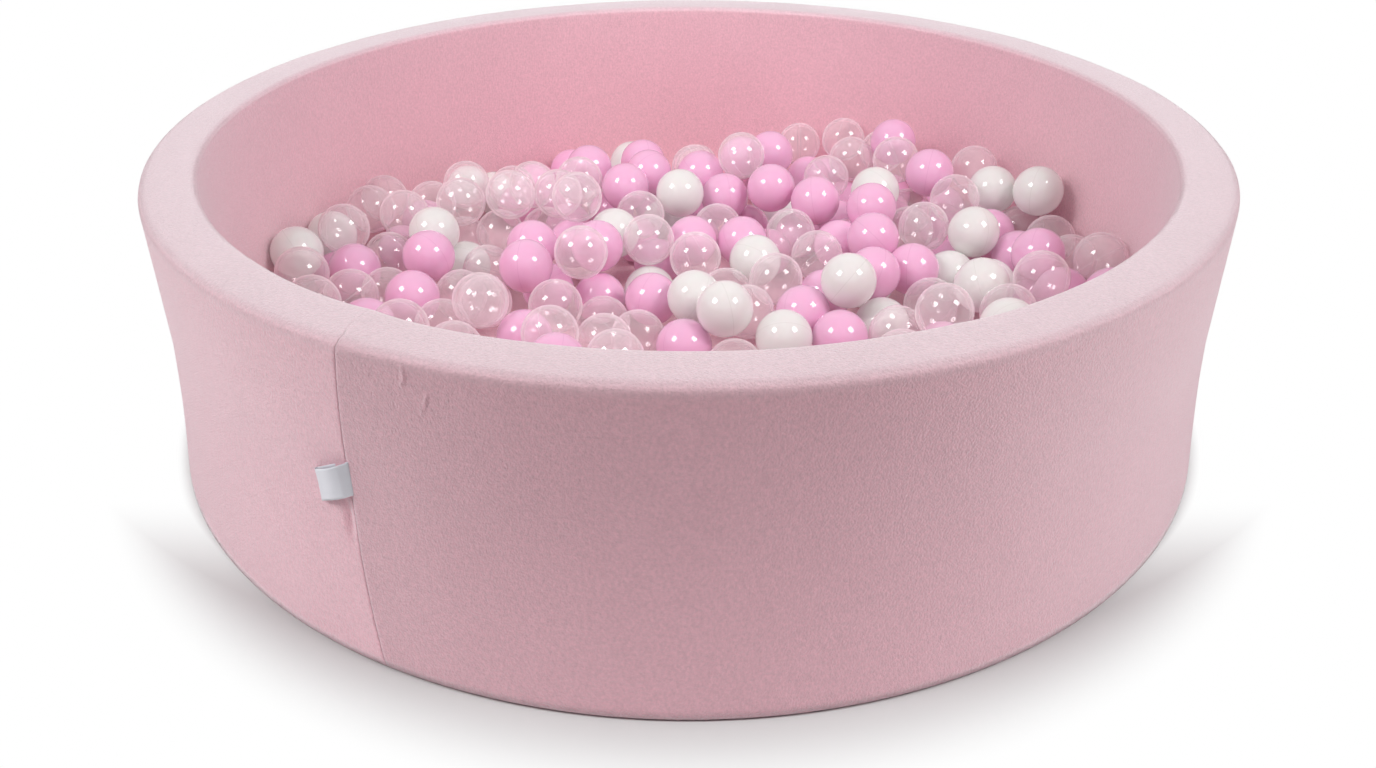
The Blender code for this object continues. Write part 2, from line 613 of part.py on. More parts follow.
def fill_balls(seen):
    """Balls of the top layer that the wall hides in the photograph, dropped in by a seeded rule."""
    camera = camera_place()
    seen_places = np.array([place for place, colour in seen])
    seen_depths = np.linalg.norm(seen_places - camera, axis=1)
    chance = random.Random(FILL_SEED)
    places = list(seen_places)
    added = []
    for turn in range(FILL_TRIES):
        reach = BALL_REACH * math.sqrt(chance.random())
        azimuth = FULL_TURN * chance.random()
        along = reach * math.sin(azimuth)
        across = reach * math.cos(azimuth)
        height = heap_height(across, along) - FILL_DROP * chance.random()
        place = np.array([across, along, max(height, LOWEST_CENTRE)])
        if np.min(np.linalg.norm(np.array(places) - place, axis=1)) < BALL_SPACING:
            continue
        if hides_seen(place, seen_places, seen_depths, camera):
            continue
        pick = chance.random()
        colour = FILL_COLOUR_SHARES[-1][0]
        for name, share in FILL_COLOUR_SHARES:
            if pick < share:
                colour = name
                break
            pick -= share
        places.append(place)
        added.append((place, colour))
    return added


def free_above(place, places):
    """True where a ball can be lifted straight up without touching another."""
    for other in places:
        apart = other - place
        if apart[2] > 0 and math.hypot(apart[0], apart[1]) < BALL_SPACING:
            return False
    return True


def ball_mesh(name, radius, subdivisions=2):
    work = bmesh.new()
    bmesh.ops.create_icosphere(work, subdivisions=subdivisions, radius=radius)
    mesh = bpy.data.meshes.new(name)
    work.to_mesh(mesh)
    work.free()
    smooth(mesh)
    return mesh


def dome(name):
    """A plainer ball for the joined bed, where only the top half shows, with a shallower underside."""
    work = bmesh.new()
    bmesh.ops.create_uvsphere(work, u_segments=DOME_SEGMENTS, v_segments=DOME_RINGS, radius=BALL_RADIUS)
    for vertex in work.verts:
        if vertex.co.z < 0:
            vertex.co.z *= DOME_UNDERSIDE_SHARE
    mesh = bpy.data.meshes.new(name)
    work.to_mesh(mesh)
    work.free()
    mesh.shade_smooth()
    return mesh


def add_balls(parts, cutters, materials):
    """The balls that stand proud are pieces of their own, and the rest are joined as one bed."""
    seen = seen_balls()
    balls = seen + fill_balls(seen)
    places = [place for place, colour in balls]
    proud = sorted(range(len(seen)), key=lambda index: heap_height(*places[index][:2]) - places[index][2])
    separate = []
    loose = dict.fromkeys(LOOSE_COUNTS, 0)
    seated = dict.fromkeys(SEATED_COUNTS, 0)
    for index in proud:
        place, colour = balls[index]
        others = [other for other in places if other is not place]
        if loose[colour] < LOOSE_COUNTS[colour] and free_above(place, others):
            loose[colour] += 1
            name = f"loose_{colour}_ball_{loose[colour]:02d}"
        elif seated[colour] < SEATED_COUNTS[colour]:
            seated[colour] += 1
            name = f"{colour}_ball_{seated[colour]:02d}"
        else:
            continue
        separate.append(index)
        ball = add_object(name, ball_mesh(name, BALL_RADIUS), materials[colour], parts)
        ball.location = place

    bed_top = heap_height(INNER_RADIUS, HEAP_CREST)
    bed = disc(parts, "ball_bed", INNER_RADIUS - CLEARANCE, FLOOR_TOP + CLEARANCE, bed_top, materials["pink"])
    side = [(-FOOT_RADIUS, 0), (FOOT_RADIUS, 0)]
    for along in (FOOT_RADIUS, INNER_RADIUS, HEAP_CREST, HEAP_FOOT, -FOOT_RADIUS):
        side.append((along, bed_height(along)))
    slope = plate("heap_slope_cutter", side, 2 * FOOT_RADIUS, None, cutters)
    slope.rotation_euler = (math.pi / 2, 0, math.pi / 2)
    hide_cutter(slope)
    boolean(bed, slope, "INTERSECT")
    domes = bpy.data.collections.new("bed_domes")
    seats = bpy.data.collections.new("ball_seats")
    cutters.children.link(domes)
    cutters.children.link(seats)
    dome_mesh = dome("bed_dome")
    support_mesh = ball_mesh("bed_support", BALL_RADIUS, subdivisions=1)
    seat_mesh = ball_mesh("ball_seat", BALL_RADIUS + BALL_SEAT_GAP)
    for index, (place, colour) in enumerate(balls):
        if index in separate:
            item = bpy.data.objects.new(f"ball_seat_{index:03d}", seat_mesh)
            seats.objects.link(item)
        else:
            item = bpy.data.objects.new(f"bed_dome_{index:03d}", dome_mesh)
            domes.objects.link(item)
        item.location = place
        hide_cutter(item)
        if place[2] - BALL_RADIUS > bed_height(place[1]) - SUPPORT_SINK:
            support = bpy.data.objects.new(f"bed_support_{index:03d}", support_mesh)
            domes.objects.link(support)
            dome_bottom = place[2] - DOME_UNDERSIDE_SHARE * BALL_RADIUS
            support_height = max(dome_bottom - BALL_RADIUS, LOWEST_CENTRE) + SUPPORT_SINK
            support.location = (place[0], place[1], support_height)
            support.rotation_euler.z = SUPPORT_TURN
            hide_cutter(support)
    boolean(bed, domes, "UNION")
    boolean(bed, seats, "DIFFERENCE")
    print("balls seen", len(seen), "filled in", len(balls) - len(seen), "separate", len(separate))


def main():
    clear_scene()
    parts = make_collection("ball_pit")
    cutters = make_collection("cutters")
    foam = make_material("polyurethane_foam", (0.86, 0.83, 0.70), 0.95)
    jersey = make_material("pink_jersey", (0.68, 0.42, 0.50), 0.85)
    underside_cloth = make_material("underside_cloth", (0.60, 0.38, 0.46), 0.90)
    ribbon = make_material("satin_ribbon", (0.85, 0.84, 0.82), 0.45)
    tape_cloth = make_material("zip_tape_cloth", (0.75, 0.52, 0.60), 0.80)
    chain_plastic = make_material("zip_chain_nylon", (0.80, 0.60, 0.67), 0.45)
    slider_metal = make_material("zip_slider_metal", (0.70, 0.70, 0.71), 0.35, metallic=1.0)
    balls = {
        "pink": make_material("pink_polyethylene", (0.83, 0.28, 0.55), 0.25),
        "white": make_material("pearl_polyethylene", (0.80, 0.76, 0.75), 0.22),
        "clear": make_material("clear_polyethylene", (0.92, 0.92, 0.93), 0.10, transmission=0.9),
    }
    front_wall, back_wall = add_foam(parts, cutters, foam)
    add_cover(parts, cutters, jersey, underside_cloth)
    add_wall_seam(parts, cutters, jersey, front_wall)
    add_label(parts, ribbon)
    add_zip(parts, cutters, back_wall, tape_cloth, chain_plastic, slider_metal)
    add_balls(parts, cutters, balls)


main()
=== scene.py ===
# %% [markdown]
# # A foam ball pit in a jersey cover
# A tub of soft foam wears a stretchy pink cover and holds a heap of hollow plastic balls.
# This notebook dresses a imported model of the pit: the model gives every place and size, and each
# cell adds the fine shape and the finish of one piece. Lengths are in metres, and +Z is up.

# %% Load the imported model
import math
import random

import bpy
import numpy as np
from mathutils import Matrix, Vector, noise


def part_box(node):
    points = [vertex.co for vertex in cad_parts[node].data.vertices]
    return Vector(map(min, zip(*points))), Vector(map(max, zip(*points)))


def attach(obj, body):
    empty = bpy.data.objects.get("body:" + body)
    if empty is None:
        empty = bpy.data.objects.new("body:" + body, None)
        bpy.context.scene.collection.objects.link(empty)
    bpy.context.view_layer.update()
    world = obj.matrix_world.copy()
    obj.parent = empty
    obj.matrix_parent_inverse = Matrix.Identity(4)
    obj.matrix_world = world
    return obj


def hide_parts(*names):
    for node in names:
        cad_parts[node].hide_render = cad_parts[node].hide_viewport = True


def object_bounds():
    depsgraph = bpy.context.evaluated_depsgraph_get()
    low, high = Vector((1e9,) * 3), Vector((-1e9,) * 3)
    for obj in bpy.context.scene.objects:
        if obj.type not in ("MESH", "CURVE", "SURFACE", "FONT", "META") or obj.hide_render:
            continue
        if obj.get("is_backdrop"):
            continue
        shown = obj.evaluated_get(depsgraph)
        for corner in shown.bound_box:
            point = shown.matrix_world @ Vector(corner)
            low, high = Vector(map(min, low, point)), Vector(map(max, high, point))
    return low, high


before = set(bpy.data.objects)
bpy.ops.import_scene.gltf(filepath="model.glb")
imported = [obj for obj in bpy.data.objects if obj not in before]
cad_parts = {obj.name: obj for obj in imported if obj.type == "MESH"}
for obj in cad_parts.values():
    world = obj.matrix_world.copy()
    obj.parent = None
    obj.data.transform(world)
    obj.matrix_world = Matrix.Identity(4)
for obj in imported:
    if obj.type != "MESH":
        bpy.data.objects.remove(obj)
CAD_LOW, CAD_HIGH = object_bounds()
print("packed box", [round(value, 4) for value in (*CAD_LOW, *CAD_HIGH)])

# %% [markdown]
# ## Sizes
# The cover and the foam are turned shapes, so a few radii and heights describe them. The height and
# the ball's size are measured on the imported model, and the rest are the tub's own driving sizes.

# %% Sizes of the tub
HEIGHT = CAD_HIGH.z
TOP_RADIUS = 0.630
FOOT_FLARE = 0.018
FLARE_HEIGHT = 0.160
WALL = 0.058
OUTER_ROUND = 0.009
INNER_ROUND = 0.007
JERSEY = 0.0015
CLEARANCE = 0.0003
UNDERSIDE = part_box("cover_underside")[1].z
FLOOR_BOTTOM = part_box("cover_floor")[0].z
FLOOR_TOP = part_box("cover_floor")[1].z
INNER_RADIUS = TOP_RADIUS - WALL
FOOT_RADIUS = TOP_RADIUS + FOOT_FLARE
SEAM_AZIMUTH = math.radians(-118.2)
FULL_TURN = 2 * math.pi
print("tub", round(2 * FOOT_RADIUS, 3), "m across its foot and", round(HEIGHT, 3), "m high")

# %% [markdown]
# ## The camera
# The picture was taken from in front and above, 31 degrees below level. The focal length comes from
# the shape of the rim's two ellipses, and the picture is taken to be 1376 pixels wide.

# %% Camera
PICTURE_WIDTH = 1376
SENSOR_WIDTH = 36
CAMERA_DISTANCE = 1.409
CAMERA_HEIGHT = 0.8175
CAMERA_PITCH = math.radians(31.1)
CAMERA_FOCAL_PIXELS = 1178
CAMERA_CENTRE_PIXELS = (689, 384)


def add_to_scene(name, data):
    """A new object that holds this camera, lamp or mesh, linked into the scene."""
    item = bpy.data.objects.new(name, data)
    bpy.context.scene.collection.objects.link(item)
    return item


camera = add_to_scene("camera", bpy.data.cameras.new("camera"))
camera.location = (0, -CAMERA_DISTANCE, CAMERA_HEIGHT)
camera.rotation_euler = (math.pi / 2 - CAMERA_PITCH, 0, 0)
camera.data.sensor_width = SENSOR_WIDTH
camera.data.lens = SENSOR_WIDTH * CAMERA_FOCAL_PIXELS / PICTURE_WIDTH
camera.data.shift_x = (PICTURE_WIDTH / 2 - CAMERA_CENTRE_PIXELS[0]) / PICTURE_WIDTH
bpy.context.scene.camera = camera
bpy.context.scene.view_settings.view_transform = "Standard"
print("lens", round(camera.data.lens, 2), "mm")

# %% [markdown]
# ## Helpers for materials
# A material is a small graph of nodes. One function adds a node and sets or connects its inputs,
# and short ones stand for the steps that come often: arithmetic, mixing, noise and bumps. Another
# turns the hex colour that a screen shows into the linear values that Blender mixes.

# %% Node and colour helpers
WHITE = (1, 1, 1, 1)


def colour(code):
    """A hex colour as a screen shows it, turned to linear red, green, blue and a full alpha."""
    shares = [int(code[place:place + 2], 16) / 255 for place in (1, 3, 5)]
    linear = [share / 12.92 if share <= 0.04045 else ((share + 0.055) / 1.055) ** 2.4
              for share in shares]
    return (*linear, 1.0)


def add_node(tree, kind, **given):
    """Add a node: each name is an option, or an input to set or connect, with _0 for the first."""
    node = tree.nodes.new(kind)
    for name, value in given.items():
        if hasattr(node, name):
            setattr(node, name, value)
            continue
        socket = node.inputs[int(name[1:]) if name[0] == "_" else name.replace("_", " ")]
        if isinstance(value, bpy.types.NodeSocket):
            tree.links.new(value, socket)
        else:
            socket.default_value = value
    return node


def maths(tree, operation, *values):
    """One step of arithmetic on numbers and on what other nodes put out."""
    inputs = {f"_{place}": value for place, value in enumerate(values)}
    return add_node(tree, "ShaderNodeMath", operation=operation, **inputs).outputs[0]


def map_range(tree, value, source=(0, 1), target=(0, 1), easing="LINEAR"):
    """A value carried from one range to another and held at both ends."""
    return add_node(tree, "ShaderNodeMapRange", interpolation_type=easing, Value=value,
                    From_Min=source[0], From_Max=source[1],
                    To_Min=target[0], To_Max=target[1]).outputs["Result"]


def mix_colours(tree, share, first, second):
    """The first colour at share 0 and the second at share 1."""
    return add_node(tree, "ShaderNodeMix", data_type="RGBA", _0=share, _6=first, _7=second).outputs[2]


def mix_shaders(tree, share, first, second):
    """The first shader at share 0 and the second at share 1."""
    return add_node(tree, "ShaderNodeMixShader", _0=share, _1=first, _2=second).outputs[0]


def noise_field(tree, vector, size, detail, roughness=0.5):
    """Soft random values between 0 and 1, in spots about this many metres across."""
    return add_node(tree, "ShaderNodeTexNoise", Scale=1 / size, Detail=detail, Roughness=roughness,
                    Vector=vector).outputs["Fac"]


def thread_waves(tree, vector, direction, pitch, wander):
    """Parallel threads at this pitch that wander a little: 1 on a thread and 0 between two."""
    return add_node(tree, "ShaderNodeTexWave", bands_direction=direction, Detail=1.0,
                    Scale=1 / (pitch * math.pi), Distortion=wander, Vector=vector).outputs["Fac"]


def bump(tree, height, strength, distance):
    """The surface's direction, tilted as a relief of this height in metres would tilt it."""
    return add_node(tree, "ShaderNodeBump", Strength=strength, Distance=distance,
                    Height=height).outputs[0]


def attribute(tree, name):
    """The value that the mesh carries under this name."""
    return add_node(tree, "ShaderNodeAttribute", attribute_name=name).outputs["Fac"]


def object_place(tree):
    """The place of each point on the piece, in metres."""
    return add_node(tree, "ShaderNodeTexCoord").outputs["Object"]


def new_material(name):
    """An empty node material and its tree."""
    material = bpy.data.materials.new(name)
    material.use_nodes = True
    material.node_tree.nodes.clear()
    return material, material.node_tree


def show_surface(material, shader):
    """Put a finished shader on a material's surface and hand the material back."""
    add_node(material.node_tree, "ShaderNodeOutputMaterial", Surface=shader)
    return material


def principled(material, **given):
    """Finish a material with Blender's general surface shader."""
    shader = add_node(material.node_tree, "ShaderNodeBsdfPrincipled", **given)
    return show_surface(material, shader.outputs[0])


# %% [markdown]
# ## Studio light
# Two square soft boxes hang left and right in front of the pit. They are why every ball carries
# two small highlights, and why the wall that faces the viewer is darker than the rim. Softer fills
# with no highlight of their own stand at the sides and behind, hang above, and look into the pit,
# where the far wall is as bright as the rim. Elsewhere the room is dim, except where the camera or
# a shiny surface looks at it: there it is plain white.

# %% Soft boxes and world
SOFTBOX_REACH = 3.3
SOFTBOX_LEFT = Vector((-0.63, -0.33, 0.715)).normalized()
SOFTBOX_RIGHT = Vector((0.63, -0.33, 0.715)).normalized()
ROOM_LIGHT = 0.03
PIT_MIDDLE = Vector((0, 0, HEIGHT / 2))
FAR_WALL = Vector((0, 0.5, 0.22))
# Name, place, target, size in metres, power in watts, spread in degrees, whether balls mirror it
LAMPS = [
    ("softbox_left", PIT_MIDDLE + SOFTBOX_REACH * SOFTBOX_LEFT, PIT_MIDDLE, 1.0, 48, 180, True),
    ("softbox_right", PIT_MIDDLE + SOFTBOX_REACH * SOFTBOX_RIGHT, PIT_MIDDLE, 1.0, 48, 180, True),
    ("side_fill_left", Vector((-2.6, 0, 1.3)), PIT_MIDDLE, 1.4, 20, 180, False),
    ("side_fill_right", Vector((2.6, 0, 1.3)), PIT_MIDDLE, 1.4, 20, 180, False),
    ("back_fill", Vector((0, 2.8, 0.7)), PIT_MIDDLE, 1.4, 12, 180, False),
    ("top_fill", Vector((0, -0.25, 1.9)), PIT_MIDDLE, 1.0, 6.2, 180, False),
    ("inner_fill", Vector((0, -0.9, 1.5)), FAR_WALL, 0.5, 0.78, 60, False),
]
for name, place, target, size, power, spread, mirrored in LAMPS:
    lamp = bpy.data.lights.new(name, "AREA")
    lamp.shape = "SQUARE"
    lamp.size = size
    lamp.energy = power
    lamp.spread = math.radians(spread)
    stand = add_to_scene(name, lamp)
    stand.location = place
    stand.rotation_euler = (target - place).to_track_quat("-Z", "Y").to_euler()
    stand.visible_glossy = mirrored


def seen_directly(tree):
    """1 for what the camera sees, also in a mirror or through glass, and 0 for bounced light."""
    path = add_node(tree, "ShaderNodeLightPath")
    glossy = maths(tree, "MAXIMUM", path.outputs["Is Camera Ray"], path.outputs["Is Glossy Ray"])
    return maths(tree, "MAXIMUM", glossy, path.outputs["Is Transmission Ray"])


world = bpy.data.worlds.new("white_studio")
bpy.context.scene.world = world
world.use_nodes = True
tree = world.node_tree
tree.nodes.clear()
room = add_node(tree, "ShaderNodeBackground", Color=WHITE, Strength=ROOM_LIGHT)
backdrop = add_node(tree, "ShaderNodeBackground", Color=WHITE, Strength=1.0)
mixed = mix_shaders(tree, seen_directly(tree), room.outputs[0], backdrop.outputs[0])
add_node(tree, "ShaderNodeOutputWorld", Surface=mixed)
print("lamps", [lamp[0] for lamp in LAMPS])

# %% [markdown]
# ## The studio floor
# The sweep of white paper under the pit shows a contact shadow that is partly painted: near the
# foot the camera sees paper of a darker tone, lit by the lamps, as a soft band that is wide along the
# front of the foot and narrow further round and behind. Beyond it the camera sees plain white. The
# light that the paper throws back fades with distance, as from a sheet of limited size, which
# leaves the foot of the wall brighter than its top.

# %% Floor
FLOOR_SIZE = 60
FLOOR_DROP = 0.0004
SHADOW_RING = (0.645, 0.745)
SHADOW_FRONT = (-0.51, -0.31)
CONTACT_RING = (0.640, 0.664)
SHADOW_TONE = 0.62
BOUNCE_RING = (1.20, 3.00)
BOUNCE_TONES = (0.95, 0.0)
floor_mesh = bpy.data.meshes.new("studio_floor")
half = FLOOR_SIZE / 2
corners = [(-half, -half), (half, -half), (half, half), (-half, half)]
floor_mesh.from_pydata([(*corner, -FLOOR_DROP) for corner in corners], [], [(0, 1, 2, 3)])
floor = add_to_scene("studio_floor", floor_mesh)

# White seamless paper: a darker matt tone near the foot paints the shadow, wide at the front and narrow
# behind, and plain white beyond
paper, tree = new_material("seamless_paper")
place = object_place(tree)
distance = add_node(tree, "ShaderNodeVectorMath", operation="LENGTH", _0=place).outputs["Value"]
behind = add_node(tree, "ShaderNodeSeparateXYZ", Vector=place).outputs["Y"]
ring = map_range(tree, distance, SHADOW_RING, easing="SMOOTHSTEP")
shade_narrows_behind = map_range(tree, behind, SHADOW_FRONT, easing="SMOOTHSTEP")
contact = map_range(tree, distance, CONTACT_RING, easing="SMOOTHSTEP")
far = maths(tree, "MAXIMUM", ring, maths(tree, "MINIMUM", shade_narrows_behind, contact))
# Painted shadow: near the foot the paper takes this darker tone, which the masks above blend into plain
# white
near = add_node(tree, "ShaderNodeBsdfDiffuse", Color=(SHADOW_TONE, SHADOW_TONE, SHADOW_TONE, 1))
white = add_node(tree, "ShaderNodeEmission", Color=WHITE, Strength=1.0)
shown = mix_shaders(tree, far, near.outputs[0], white.outputs[0])
fade = map_range(tree, distance, BOUNCE_RING, BOUNCE_TONES, "SMOOTHSTEP")
bounce = add_node(tree, "ShaderNodeBsdfDiffuse", Color=fade)
show_surface(paper, mix_shaders(tree, seen_directly(tree), bounce.outputs[0], shown))
floor.data.materials.append(paper)
floor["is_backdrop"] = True
print("floor", FLOOR_SIZE, "m square")

# %% [markdown]
# ## Cotton jersey
# The cover is brushed cotton jersey, a fine knit whose face is raised to a short nap. It scatters
# light evenly, goes pale where the eye skims along it, and shows a soft grain of 2 to 4 mm rather
# than its loops, which are under 1 mm. Over the rim, where it is stretched, its colour is painted
# paler for the strong light there, and the inside is painted paler towards its top for its light.

# %% Jersey material
NAP_GRAIN = 0.0018
NAP_HEIGHT = 0.0015
NAP_TUFTS = 0.0032
TUFT_NOISE = (0.3, 0.7)
TUFT_TONES = (0.88, 1.10)
DYE_CLOUD = 0.110
CLOUD_TONES = (0.965, 1.035)
WALE_SCALE = (1.0, 1.0, 0.85)
SEAM_SIDE_SHARE = 0.10
JERSEY_PINK = colour("#F0BAC6")
# The tone below is painted light: the paler colour of the rim, where the cloth is also stretched, and of
# the upper inside
JERSEY_LIT_AND_STRETCHED = colour("#E1C3CB")
# The seam tone below is painted shade, for the shadow in the seam's gap
JERSEY_SEAM_SHADE = colour("#8E5A68")


def jersey_material():
    """Brushed cotton jersey: matt and soft, with a nap that pales at a skimming view."""
    material, tree = new_material("brushed_cotton_jersey")
    place = object_place(tree)
    along_wale = add_node(tree, "ShaderNodeMapping", Scale=WALE_SCALE, Vector=place).outputs[0]
    # Painted light: paler over the rim and up the inside
    pink_and_painted_light = mix_colours(tree, attribute(tree, "stretch"), JERSEY_PINK, JERSEY_LIT_AND_STRETCHED)
    cloud = map_range(tree, noise_field(tree, place, DYE_CLOUD, 2.0), target=CLOUD_TONES)
    tufts = noise_field(tree, along_wale, NAP_TUFTS, 4.0, 0.65)
    tone = maths(tree, "MULTIPLY", cloud, map_range(tree, tufts, TUFT_NOISE, TUFT_TONES))
    # Lighter left of the seam and darker right of it, on the outer wall only
    lighter = maths(tree, "MULTIPLY_ADD", attribute(tree, "brushed_light"), SEAM_SIDE_SHARE, tone)
    mottled = add_node(tree, "ShaderNodeVectorMath", operation="SCALE", _0=pink_and_painted_light, Scale=lighter)
    # Painted shade: the seam's gap darkened along its line
    seam_shaded = mix_colours(tree, attribute(tree, "seam_line"), mottled.outputs[0], JERSEY_SEAM_SHADE)
    fibres = noise_field(tree, along_wale, NAP_GRAIN, 3.0, 0.6)
    return principled(material, Base_Color=seam_shaded, Normal=bump(tree, fibres, 1.0, NAP_HEIGHT),
                      Roughness=0.85, Specular_IOR_Level=0.15, Sheen_Weight=1.0,
                      Sheen_Roughness=0.5, Sheen_Tint=(1.0, 0.98, 1.0, 1.0))


jersey = jersey_material()
print("jersey grain", NAP_GRAIN * 1000, "mm")

# %% [markdown]
# ## Helpers for meshes
# Most pieces here are grids: rows run along a profile and columns run round the pit. A grid is
# quick to compute with numpy, its faces are all quads, and it bends easily into seams and folds.

# %% Mesh helpers
def add_piece(name, mesh, material):
    """A new object with this mesh and material, at the origin."""
    item = add_to_scene(name, mesh)
    if material:
        mesh.materials.append(material)
    return item


def settle_modifiers(item):
    """Swap the piece's mesh for what its modifiers make of it, and remove them."""
    depsgraph = bpy.context.evaluated_depsgraph_get()
    made = bpy.data.meshes.new_from_object(item.evaluated_get(depsgraph))
    made.name = item.name
    item.modifiers.clear()
    item.data = made
    return item


def grid_mesh(name, points, wrap, attributes=None, skip=None):
    """Quads over a grid of points (rows, columns, 3), joined round when wrap is set."""
    rows, columns = points.shape[:2]
    faces = []
    for row in range(rows - 1):
        for column in range(columns if wrap else columns - 1):
            if skip and skip(row, column):
                continue
            after = (column + 1) % columns
            faces.append((row * columns + column, row * columns + after,
                          (row + 1) * columns + after, (row + 1) * columns + column))
    mesh = bpy.data.meshes.new(name)
    mesh.from_pydata(points.reshape(-1, 3).tolist(), [], faces)
    for title, values in (attributes or {}).items():
        layer = mesh.attributes.new(title, "FLOAT", "POINT")
        layer.data.foreach_set("value", values.astype(np.float32).ravel())
    mesh.shade_smooth()
    return mesh


def thicken(item, thickness):
    """Give an open sheet a real thickness on its back, away from its normals."""
    solid = item.modifiers.new("Thickness", "SOLIDIFY")
    solid.thickness = thickness
    solid.offset = -1
    return settle_modifiers(item)


def steps_between(first, last, longest):
    """Evenly spaced values from first up to, but without, last, no further apart than longest."""
    count = max(1, math.ceil(abs(last - first) / longest))
    return [first + (last - first) * index / count for index in range(count)]


def turned_points(radii, heights, azimuths):
    """Points of a turned grid: one row for each radius and height, one column for each azimuth."""
    radii = np.asarray(radii)[:, None]
    heights = np.asarray(heights)[:, None] * np.ones(np.shape(azimuths))
    return np.stack([radii * np.cos(azimuths), radii * np.sin(azimuths), heights], axis=2)


# %% [markdown]
# ## The cover's sleeve
# One band of jersey goes up the outside, over the rim and down the inside, closed by a single
# upright seam. Its profile is turned round the pit, and then each point moves along its normal by
# the cloth's own relief: slow waves, the seam's ridge and crease, two small folds near the rim and
# the pucker under the label. Columns lie close together where that relief is fine.

# %% Profile of the sleeve
SLEEVE_FOOT = UNDERSIDE + CLEARANCE
FLARE_SHARE = 1.19
FLARE_POWER = 1.35
RIM_CROWN = 0.0012
ROUND_STEPS = 8
FINE_ROW = 0.0032
PLAIN_ROW = 0.010
# Heights between which the rows lie close: round the pucker, and from the small folds upwards
PUCKER_ROWS = (0.115, 0.190)
FOLD_ROWS_FOOT = 0.290


def flare(height):
    """How far the wall leans out at this height: most at the foot, fading smoothly upwards."""
    return FOOT_FLARE * max(0.0, 1 - height / (FLARE_SHARE * FLARE_HEIGHT)) ** FLARE_POWER


def quarter_round(radius, height, size, quarter, closed=False):
    """Points of a quarter circle about this radius and height, with its last one when closed."""
    angles = [math.pi / 2 * (quarter + index / ROUND_STEPS) for index in range(ROUND_STEPS + closed)]
    return [(radius + size * math.cos(angle), height + size * math.sin(angle)) for angle in angles]


def sleeve_profile(inset=0.0, foot=SLEEVE_FOOT, inner_foot=FLOOR_BOTTOM, fine=FINE_ROW, plain=PLAIN_ROW):
    """Radius and height of the sleeve's face from its outer foot to its inner foot."""
    wall_top = HEIGHT - OUTER_ROUND
    heights = steps_between(foot, PUCKER_ROWS[0], plain)
    heights += steps_between(*PUCKER_ROWS, fine)
    heights += steps_between(PUCKER_ROWS[1], FOLD_ROWS_FOOT, plain)
    heights += steps_between(FOLD_ROWS_FOOT, wall_top, fine)
    line = [(TOP_RADIUS + flare(height) - inset, height) for height in heights]
    rim_outer = TOP_RADIUS - OUTER_ROUND
    rim_inner = INNER_RADIUS + INNER_ROUND
    line += quarter_round(rim_outer, wall_top, OUTER_ROUND - inset, 0)
    line += [(radius, HEIGHT - inset) for radius in steps_between(rim_outer, rim_inner, plain / 2)]
    line += quarter_round(rim_inner, HEIGHT - INNER_ROUND, INNER_ROUND - inset, 1)
    inner_heights = steps_between(HEIGHT - INNER_ROUND, inner_foot, plain) + [inner_foot]
    line += [(INNER_RADIUS + inset, height) for height in inner_heights]
    return np.array(line)


def rows_on_wall(profile):
    """True for the rows of a profile on the outer wall and its round, up to the rim's flat."""
    return np.arange(len(profile)) < int(np.argmin(profile[:, 0] >= TOP_RADIUS - OUTER_ROUND))


profile = sleeve_profile()
print("sleeve rows", len(profile))

# %% Columns of the sleeve
SEAM_BEND_HEIGHT = 0.200
SEAM_BEND_OFFSET = -0.0045
SEAM_BEND = 0.59
RIM_DRIFT_SHARE = 0.24
SEAM_FOLLOW = 0.12
HALF_WAY = math.pi * TOP_RADIUS
# Columns beside the seam: up to which distance from it, and how wide each may be
LEFT_COLUMNS = [(0.006, 0.0007), (0.020, 0.002), (0.048, 0.004), (HALF_WAY, 0.0125)]
RIGHT_COLUMNS = [*LEFT_COLUMNS[:3], (0.062, 0.003), (0.100, 0.0011), (HALF_WAY, 0.0125)]


def seam_offset(profile, on_wall):
    """How far the seam strays sideways from its mean azimuth, as read from the photograph."""
    strayed = SEAM_BEND_OFFSET + SEAM_BEND * (profile[:, 1] - SEAM_BEND_HEIGHT) ** 2
    over_rim = RIM_DRIFT_SHARE * np.minimum(TOP_RADIUS - profile[:, 0], WALL)
    return np.where(on_wall, strayed, strayed - over_rim)


def column_places(columns):
    """Distances from the seam of the columns on one side of it."""
    places = []
    start = 0
    for end, width in columns:
        places += steps_between(start, end, width)
        start = end
    return places


left = column_places(LEFT_COLUMNS)
along = np.array([-offset for offset in left[:0:-1]] + column_places(RIGHT_COLUMNS))
print("sleeve columns", len(along))

# %% Relief of the jersey
WAVE_HEIGHT = 0.0009
WAVE_LENGTH = 0.150
SHORT_WAVES = 2.3
SHORT_WAVE_SHARE = 0.35
SEAM_RIDGE = 0.0018
SEAM_RIDGE_WIDTH = 0.025
SEAM_CREASE = 0.0013
SEAM_CREASE_WIDTH = 0.0011
RIM_CREASE_SHARE = 0.45
# The seam's painted shade: its width, its strength and how much of it fades over the rim
SEAM_LINE_WIDTH = 0.0009
SEAM_LINE_SHARE = 0.45
SEAM_LINE_LOSS = 0.8
PUCKER_DEPTH = 0.0038
PUCKER_PLACE = (-0.0075, 0.158)
PUCKER_SIZE = (0.0055, 0.020)
FOLD_HEIGHT = 0.0012
FOLD_WIDTH = 0.0014
FOOT_FADE = 0.004
# Painted light: how much paler the inside is painted towards its top
INSIDE_PAINTED_LIGHT_SHARE = 0.30
# Left of the seam the jersey is lighter, fading away from it, and right of it darker: shares and reach in
# metres
LIGHTER_REACH = 0.45
DARKER_SHARE = 0.6
DARKER_REACH = 0.12
